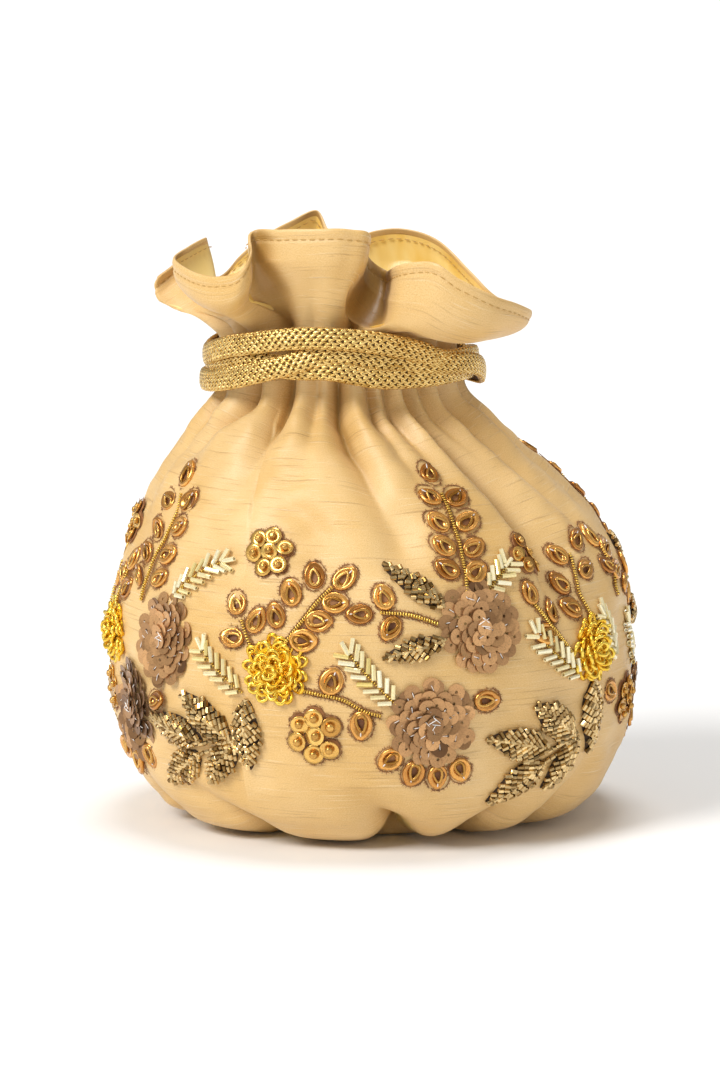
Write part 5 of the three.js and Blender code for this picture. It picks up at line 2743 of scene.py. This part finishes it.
@dataclass(frozen=True)
class BeadLeaf:
    """A padded leaf covered with cut beads in slanting rows.

    Attributes:
        spot: The spot that it is measured from.
        foot: How far right of and above the spot it starts.
        tip: How far right of and above the spot it ends.
        width: Its width.
        slant: The angle between its rows and its vein.
    """

    spot: Spot
    foot: tuple[float, float]
    tip: tuple[float, float]
    width: float = 8.5
    slant: float = 38.0

    def work(self, ground: Ground, table: Worktable) -> None:
        """Sews the leaf on.

        Args:
            ground: Where the cloth lies.
            table: Where the stitches and beads are kept.
        """
        foot, tip = np.array(self.foot), np.array(self.tip)
        length = float(np.linalg.norm(tip - foot))
        ahead = (tip - foot) / length
        across = np.array([ahead[1], -ahead[0]])
        angle = math.degrees(math.atan2(ahead[0], ahead[1]))
        self._pad(ground, table, foot, ahead * length, across)
        slant = math.radians(self.slant)
        spots, turns = [], []
        for along in np.arange(1.0, length - 0.4, 2.0):
            spots.append((along, 0.0))
            turns.append(angle)
        for way in (-1, 1):
            for start in np.arange(-4.0, length, 2.3):
                for step in range(12):
                    reach = 1.3 + 2.0 * step
                    along = start + reach * math.cos(slant)
                    side = reach * math.sin(slant)
                    share = along / length
                    if not 0.02 < share < 0.98 or side + 0.1 > self._half(share):
                        continue
                    spots.append((along, way * side))
                    turns.append(angle + way * self.slant)
        placed = np.array(spots)
        count = len(placed)
        draw = table.draw
        placed += draw.normal(0, 0.07, placed.shape)
        middle = foot + placed[:, :1] * ahead + placed[:, 1:] * across
        frame = ground.at(self.spot, middle[:, 0], middle[:, 1])
        half = np.array([max(self._half(min(max(a / length, 0.03), 0.97)), 0.4) for a in placed[:, 0]])
        tilted = leaned(frame, angle + 90, 0.55 * np.clip(placed[:, 1] / half, -1, 1))
        lift = self._dome(placed[:, 0] / length, np.abs(placed[:, 1]) / half) + 0.55
        points = frame[0] + frame[3] * lift[:, None]
        table.sew(
            Kind.CUT_BEAD, (points, *tilted[1:]), np.array(turns) + draw.normal(0, 5, count),
            draw.normal(0, 5, count), draw.normal(0, 8, count), 0.0,
            np.stack([np.ones(count), draw.uniform(0.85, 1.12, count), np.ones(count)], axis=1),
            shades(draw, 0.55, 0.3, count)
        )

    def _half(self, share: float) -> float:
        """Returns the leaf's half width at a share of its length."""
        return self.width / 2 * math.sin(math.pi * min(max(share, 0), 1) ** 0.82) ** 0.8

    @staticmethod
    def _dome(share: Array, side: Array) -> Array:
        """Returns how high the padding is, from the share of the length and of the half width."""
        long_rise = np.sin(math.pi * np.clip(share, 0.02, 0.98)) ** 0.5
        return 1.15 * long_rise * np.sqrt(np.clip(1 - 0.85 * np.clip(side, 0, 1) ** 2, 0, 1))

    def _pad(self, ground: Ground, table: Worktable, foot: Array, whole: Array, across: Array) -> None:
        """Adds the padding under the beads, near-black as dark thread and as painted shade in the gaps
        between them.

        Args:
            ground: Where the cloth lies.
            table: Where the stitches and beads are kept.
            foot: The leaf's foot.
            whole: The way to its tip.
            across: The way across it.
        """
        shares = np.linspace(0.01, 0.99, 15)
        sides = np.linspace(-0.9, 0.9, 9)
        half = np.array([self._half(s) for s in shares])
        middle = foot + shares[:, None] * whole
        spread = middle[:, None] + (half[:, None] * sides)[..., None] * across
        points, _, _, out = ground.at(self.spot, spread[..., 0].ravel(), spread[..., 1].ravel())
        rise = self._dome(shares[:, None], np.abs(sides)[None])
        lift = np.where(np.abs(sides) > 0.89, -0.3, rise)
        lift[0] = lift[-1] = -0.3
        table.pads.append((points + out * lift.ravel()[:, None]).reshape(len(shares), len(sides), 3))


@dataclass(frozen=True)
class BeadString:
    """A single row of cut beads.

    Attributes:
        spot: The spot that it is measured from.
        start: How far right of and above the spot it starts.
        end: How far right of and above it ends.
    """

    spot: Spot
    start: tuple[float, float]
    end: tuple[float, float]

    def work(self, ground: Ground, table: Worktable) -> None:
        """Sews the beads on.

        Args:
            ground: Where the cloth lies.
            table: Where the stitches and beads are kept.
        """
        start, end = np.array(self.start), np.array(self.end)
        length = float(np.linalg.norm(end - start))
        count = max(1, int(length / 1.8))
        share = (np.arange(count) + 0.5)[:, None] / count
        placed = start + (end - start) * share
        angle = math.degrees(math.atan2(*(end - start)))
        draw = table.draw
        table.sew(
            Kind.CUT_BEAD, ground.at(self.spot, placed[:, 0], placed[:, 1]),
            angle + draw.normal(0, 9, count), roll=draw.uniform(0, 60, count), lift=0.7,
            tint=draw.uniform(0.2, 0.9, count)
        )


def bead_leaf(start: Spot, end: Spot, width: float = 10.0) -> BeadLeaf:
    """Makes a bead leaf between two spots on the front."""
    right = math.radians(end[0] - start[0]) * 80
    return BeadLeaf(start, (0.0, 0.0), (right, (end[1] - start[1]) * 1.08), width)


def bead_bunch(spot: Spot) -> list[BeadLeaf | BeadString]:
    """Makes four bead leaves that meet at a spot.

    Args:
        spot: Where the leaves meet.

    Returns:
        The leaves.
    """
    return [
        BeadLeaf(spot, (-1, -2), (-20, 11.5), 11.5), BeadLeaf(spot, (-13, -3), (-36, 2), 11),
        BeadLeaf(spot, (-14, -7), (-33, -19), 11), BeadLeaf(spot, (0, -1), (-13, -17), 9.5),
        BeadString(spot, (0, 0), (-14, -4)), BeadString(spot, (-3, -2.5), (-16, -8))
    ]


@dataclass
class Embroidery:
    """All the motifs, worked over the bag and made into one piece for each kind of thing.

    Attributes:
        shape: The pouch's shape.
    """

    shape: PouchShape

    def front_wire_spray(self) -> list:
        """Lists the motifs round the wire flower at the front.

        Returns:
            The motifs.
        """
        return [
            WireFlower((-20.6, 57.4), 10.7),
            Sprig(
                ((-19.2, 64), (-15.5, 71.4), (-12, 78), (-9.4, 82)),
                (
                    (-6.9, 84.6), (-13.4, 85), (-18, 80), (-21, 73.4), (-8.6, 77.8), (-11.8, 72.5),
                    (-14.8, 66.8)
                )
            ),
            Sprig(
                ((-25.6, 62), (-27.4, 67), (-29.0, 71.5)), ((-30.8, 76), (-30.9, 66.2), (-25.6, 71.6))
            ),
            BugleLeaf(((-28.2, 50.2), (-33.4, 55.4), (-37.2, 59.6), (-40, 64.4)), 7),
            Berries((-24, 91.6), 7.4),
            Sprig(
                ((-15.6, 52.2), (-10.9, 51), (-6, 49.5), (-1.4, 46), (1.5, 44.8)),
                ((-8.5, 54.8), (-2.4, 42.2)), 1.05, 0.3
            ),
            Berries((-12, 38.4), 8.4, 0.6, 5), *bead_bunch((-30.6, 36.2)),
            bead_leaf((-27.2, 48.4), (-28, 26.8))
        ]

    def sequin_spray(self) -> list:
        """Lists the motifs round the two sequin flowers.

        Returns:
            The motifs.
        """
        return [
            SequinFlower((23.5, 69.9), 13.2, 1.06, 0.62), SequinFlower((12.6, 42), 13.6, 0.98, 0.5),
            Sprig(
                ((20.9, 80), (21.9, 93.5), (23.0, 101.6), (23.4, 106)),
                (
                    (23.4, 110.8), (20.4, 105.5), (19.3, 99.4), (18.3, 93.4), (17.6, 87.2), (26.6, 105),
                    (26.2, 99.2), (25.0, 92.6), (23.9, 86)
                ),
                0.98, 0.7
            ),
            bead_leaf((15.6, 76.2), (2.9, 89.4), 7.4),
            Sprig(
                ((13.6, 71.8), (8.6, 74.2), (1.8, 75.3)), ((2.6, 79.4), (-2.6, 74.8), (3.8, 70.9)), 1.0,
                0.5
            ),
            bead_leaf((15.4, 66.8), (1.5, 62.2), 7.6),
            BugleLeaf(((26.4, 81), (29.8, 84.4), (33.4, 88.6)), 5, 0.95),
            # painted shade: this berry cluster gets a low mean tint of 0.25, darker than the other
            # clusters, for the shade it sits in
            Berries((39.8, 90.2), 6.7, 0.25, 30), FoilLeaf((24.4, 47.9), 88, 1.05),
            FoilLeaf((3.6, 31.4), -125), FoilLeaf((8.4, 27.0), -160), FoilLeaf((13.6, 25.6), 178),
            FoilLeaf((18.6, 27.4), 160),
            BugleLeaf(((4.6, 48.4), (-0.2, 55.4), (-3.6, 61), (-6.2, 66)), 8)
        ]

    def right_wire_spray(self) -> list:
        """Lists the motifs round the wire flower at the right.

        Returns:
            The motifs.
        """
        return [
            WireFlower((54.9, 59.2), 10.6),
            Sprig(
                ((55.2, 67.4), (54, 77), (55.2, 82.8), (56, 87.8)),
                ((61.2, 91), (53.0, 88.4), (59.2, 82.6), (49.6, 80.2), (49.8, 72.6))
            ),
            Sprig(((46.8, 59.6), (43, 66), (37.8, 75.6)), ((37.4, 78.4), (42.8, 72.4), (40.2, 66.2))),
            BugleLeaf(((49.6, 52), (42, 60), (38.4, 64.8), (36, 70)), 8),
            BugleLeaf(((64.4, 54), (62.4, 61), (60.4, 67), (58.8, 71)), 7),
            bead_leaf((54.6, 50.2), (55.4, 27.6)), *bead_bunch((50.2, 34)),
            Berries((72.8, 40.2), 7.4, 0.6, 8), FoilLeaf((63.4, 44.4), 120),
            Sprig(
                ((70.5, 73), (70.8, 80), (71.0, 87)), ((69.2, 82), (72.8, 80), (70.6, 91), (73.5, 86.6))
            )
        ]

    def seam_spray(self) -> list:
        """Lists the motifs on both sides of the side seam.

        Returns:
            The motifs.
        """
        return [
            Sprig(
                ((-62, 73), (-61, 80), (-60.6, 86), (-59.0, 92.5), (-57.5, 99), (-58.2, 104.5)),
                (
                    (-59.4, 110), (-63.4, 102), (-54.2, 103), (-63.8, 93.6), (-54.8, 95.6),
                    (-65.6, 86.6), (-56.2, 87.4), (-66.4, 79.4), (-57.0, 80.4)
                )
            ),
            BugleLeaf(((-50, 76), (-44.6, 81.6), (-39.4, 86.2), (-34, 88.8)), 8, 0.95),
            SequinFlower((-51.4, 62.5), 13.4, 1.1, 0.72), SequinFlower((-65.2, 38), 13.0, 1.25, 0.3),
            FoilLeaf((-53.4, 43.4), 80, 0.95), FoilLeaf((-60.6, 24.6), 175),
            FoilLeaf((-67.6, 21.4), 185), FoilLeaf((-73.5, 24.8), 200), WireFlower((-76.6, 60.6), 10.4),
            Sprig(((-76, 68), (-75.4, 74), (-75, 79.5)), ((-73.6, 83), (-78.6, 78), (-72.4, 74.6))),
            Sprig(((-84, 66), (-85.6, 73), (-86, 80)), ((-86.4, 84.4), (-89.4, 77), (-82.6, 76))),
            Berries((-85, 93), 7.0), Berries((-80.5, 42), 7.4, 0.5, 12),
            BugleLeaf(((-86.6, 54), (-91.4, 60), (-96, 67)), 7), *bead_bunch((-92, 38))
        ]

    def build(self) -> list[bpy.types.Object]:
        """Works every motif and makes the pieces.

        Returns:
            The pieces.
        """
        table = Worktable()
        layout = (
            (0, self.front_wire_spray), (0, self.sequin_spray), (0, self.right_wire_spray),
            (0, self.seam_spray), (82, self.sequin_spray), (156, self.front_wire_spray),
            (154, self.sequin_spray), (228, self.front_wire_spray), (225.5, self.sequin_spray)
        )
        for turned, motifs in layout:
            ground = Ground(self.shape, turned)
            for motif in motifs():
                motif.work(ground, table)
        made = [self._make(table, kind, *facts) for kind, facts in self._plans().items()]
        made += self._coils(table)
        made.append(self._backing(table))
        return made

    def _plans(self) -> dict:
        """Lists each kind's shape, finish, slot and the construction nodes that it stands for.

        Returns:
            The plans, by kind.
        """
        repeats = range(1, 6)
        ring = np.arange(20) * 2 * math.pi / 20
        oval = np.stack([1.55 * np.sin(ring), 2.0 * np.cos(ring), 0.25 * np.cos(2 * ring)], axis=1)
        small = np.arange(12) * 2 * math.pi / 12
        drop = np.stack(
            [
                1.35 * np.sin(small) * (1 - 0.4 * np.cos(small)), 2.45 * np.cos(small),
                0.25 * np.cos(small)
            ],
            axis=1
        )
        sequin = ((0.48, -0.02), (2.5, 0.07), (2.5, 0.19), (0.48, 0.1))
        cup = ((0, -0.1), (1.3, -0.05), (2.5, 0.62), (2.46, 0.86), (1.35, 0.42), (0, 0.3))
        seed = ((0, -0.2), (0.85, 0.05), (1.02, 0.6), (0.78, 1.1), (0.3, 1.28), (0, 1.05))
        tube = ((0.42, -2.3), (0.74, -2.4), (0.74, 2.4), (0.42, 2.3))
        cut = ((0, -0.94), (0.56, -0.94), (0.72, -0.78), (0.72, 0.78), (0.56, 0.94), (0, 0.94))
        return {
            Kind.SEQUIN: (
                turned_shape("sequin", sequin, 14, False), Finish.SEQUIN, "sequins",
                [f"sequin_flower_{level}_{n}" for level in ("upper", "lower") for n in repeats]
            ),
            Kind.CLEAR_STITCH: (spindle("clear", 0.13, 2.2, 4), Finish.CLEAR_THREAD, "sequins", []),
            Kind.WIRE_LOOP: (
                ribbed_loop("bullion", oval, 0.66, 0.54, 6), Finish.WIRE, "wire",
                [f"wire_flower_{n}" for n in repeats]
            ),
            Kind.FOIL_LEAF: (
                foil_cup("foil"), Finish.FOIL, "foil",
                [f"{word}_sprig_{n}" for word in ("flower", "tall") for n in repeats]
            ),
            Kind.LEAF_LOOP: (tube_shape("twist", drop, 0.5, 6, True), Finish.LOOP, "foil", []),
            Kind.PALE_STITCH: (spindle("pale", 0.2, 2.3, 5), Finish.CLEAR_THREAD, "foil", []),
            Kind.EDGING: (spindle("brown", 0.13, 1.9, 4), Finish.BROWN_THREAD, "foil", []),
            Kind.PATCH: (dark_oval("patch"), Finish.BROWN_THREAD, "foil", []),
            Kind.WIRE_PAD: (dark_oval("wire_bed"), Finish.WIRE, "wire", []),
            Kind.CUP: (
                turned_shape("cup", cup, 14), Finish.CUP, "foil",
                [f"{level}_berries_{n}" for level in ("upper", "lower") for n in repeats]
            ),
            Kind.CUP_BEAD: (turned_shape("seed", seed, 9), Finish.LOOP, "foil", []),
            Kind.BUGLE: (
                laid_along(turned_shape("tube", tube, 8, False)), Finish.BUGLE, "bugles",
                [f"bugle_leaf_{n}" for n in repeats]
            ),
            Kind.CUT_BEAD: (
                laid_along(turned_shape("cut", cut, 6, False)), Finish.CUT_BEAD, "beads",
                [f"bead_{word}_{n}" for word in ("leaves", "leaf") for n in repeats]
            )
        }

    @staticmethod
    def _make(
        table: Worktable, kind: Kind, shape: bpy.types.Object, finish: Finish, slot: str,
        nodes: Sequence[str]
    ) -> bpy.types.Object:
        """Makes all the things of one kind.

        Args:
            table: What has been worked.
            kind: The kind.
            shape: Its shape.
            finish: Its finish.
            slot: The record's slot; not used.
            nodes: The construction nodes that the piece stands for.

        Returns:
            The piece.
        """
        return keep(table.kinds[kind].make(kind.value, shape, finish), nodes)

    @staticmethod
    def _coils(table: Worktable) -> list[bpy.types.Object]:
        """Makes the couched stems and the feathers' veins.

        Args:
            table: Where the stitches and beads are kept.

        Returns:
            The pieces.
        """
        tree = coil_tree()
        made = []
        for name, lines, radius, wire, pitch in (
            ("couched_stems", table.stems, 0.42, 0.27, 0.8),
            ("couched_veins", table.veins, 0.34, 0.24, 0.8),
        ):
            piece = carry_out(
                lines_mesh(lines), tree, name, Coil_Radius=radius * MM, Wire_Radius=wire * MM,
                Pitch=pitch * MM, Finish=Finish.PURL.material()
            )
            write_number(piece.data, "tint", np.full(len(piece.data.vertices), 0.55))
            made.append(keep(piece))
        return made

    @staticmethod
    def _backing(table: Worktable) -> bpy.types.Object:
        """Makes the padding under the cut beads, near-black as dark thread and as painted shade in the
        gaps between them.

        Args:
            table: Where the stitches and beads are kept.

        Returns:
            The piece.
        """
        points = np.concatenate([pad.reshape(-1, 3) for pad in table.pads])
        rows, columns = table.pads[0].shape[:2]
        faces = grid_faces(rows, columns, False)
        every = np.concatenate([faces + i * rows * columns for i in range(len(table.pads))])
        mesh = mesh_from("bead_padding", points * MM, every)
        write_number(mesh, "tint", np.full(len(points), 0.5))
        return keep(object_from(mesh, Finish.BACKING.material()))


# ---------------------------------------------------------------- the studio


@dataclass
class Studio:
    """The floor, the lamps and the camera.

    Attributes:
        camera_place: Where the camera stands.
        camera_tilt: How far it looks down, in degrees.
        lens: Its focal length.
        surround: How bright the even white surround is.
    """

    camera_place: tuple[float, float, float] = (-3.8, -1200.0, 260.0)
    camera_tilt: float = 8.235
    lens: float = 127.8
    surround: float = 0.38

    def build(self) -> None:
        """Sets the studio up."""
        self._camera()
        self._floor()
        self._surround()
        self._lamp("key", (-680, -560, 740), 26, 2.5)
        self._lamp("fill", (800, -620, 340), 40, 0.2)
        self._lamp("top", (60, 160, 1090), 26, 1.4)

    def _camera(self) -> None:
        """Makes the camera."""
        lens = bpy.data.cameras.new("camera")
        lens.lens = self.lens
        lens.sensor_width = 36.0
        lens.clip_end = 300.0
        camera = bpy.data.objects.new("camera", lens)
        bpy.context.scene.collection.objects.link(camera)
        camera.location = [part * MM for part in self.camera_place]
        camera.rotation_euler = (math.radians(90 - self.camera_tilt), 0.0, 0.0)
        bpy.context.scene.camera = camera

    @staticmethod
    def _floor() -> None:
        """Makes the floor, which reaches as far as the camera sees."""
        reach = 120000.0
        corners = [
            (-reach, -reach, 0.0), (reach, -reach, 0.0), (reach, reach, 0.0), (-reach, reach, 0.0)
        ]
        floor = object_from(mesh_from("floor", np.array(corners) * MM, [[0, 1, 2, 3]]), Paper().make())

    def _surround(self) -> None:
        """Gives the studio an even white surround."""
        world = bpy.data.worlds.new("studio")
        world.use_nodes = True
        light = world.node_tree.nodes["Background"]
        light.inputs["Color"].default_value = (1.0, 0.99, 0.975, 1.0)
        light.inputs["Strength"].default_value = self.surround
        bpy.context.scene.world = world
        bpy.context.scene.view_settings.view_transform = "Standard"

    @staticmethod
    def _lamp(name: str, toward: Sequence[float], spread: float, strength: float) -> None:
        """Hangs one soft lamp, so far off that it lights the whole floor alike.

        Args:
            name: The lamp's name.
            toward: Where it hangs as seen from the pouch.
            spread: How wide it looks, in degrees.
            strength: Its strength in watts for each square metre.
        """
        light = bpy.data.lights.new(name, "SUN")
        light.angle = math.radians(spread)
        light.energy = strength
        lamp = bpy.data.objects.new(name, light)
        bpy.context.scene.collection.objects.link(lamp)
        flat = math.hypot(toward[0], toward[1])
        lamp.rotation_euler = (math.atan2(flat, toward[2]), 0.0, math.atan2(toward[0], -toward[1]))


def main() -> None:
    """Builds the pouch and its studio, and notes the sizes."""
    logging.basicConfig(level=logging.INFO, format="%(name)s: %(message)s")
    Studio().build()
    shape = PouchShape()
    silk = SilkBody(shape)
    silk.build()
    SatinLining(shape).build()
    CoveredBoard().build()
    HemStitching(silk).build()
    Drawcord(shape).build()
    Embroidery(shape).build()


if __name__ == "__main__":
    main()
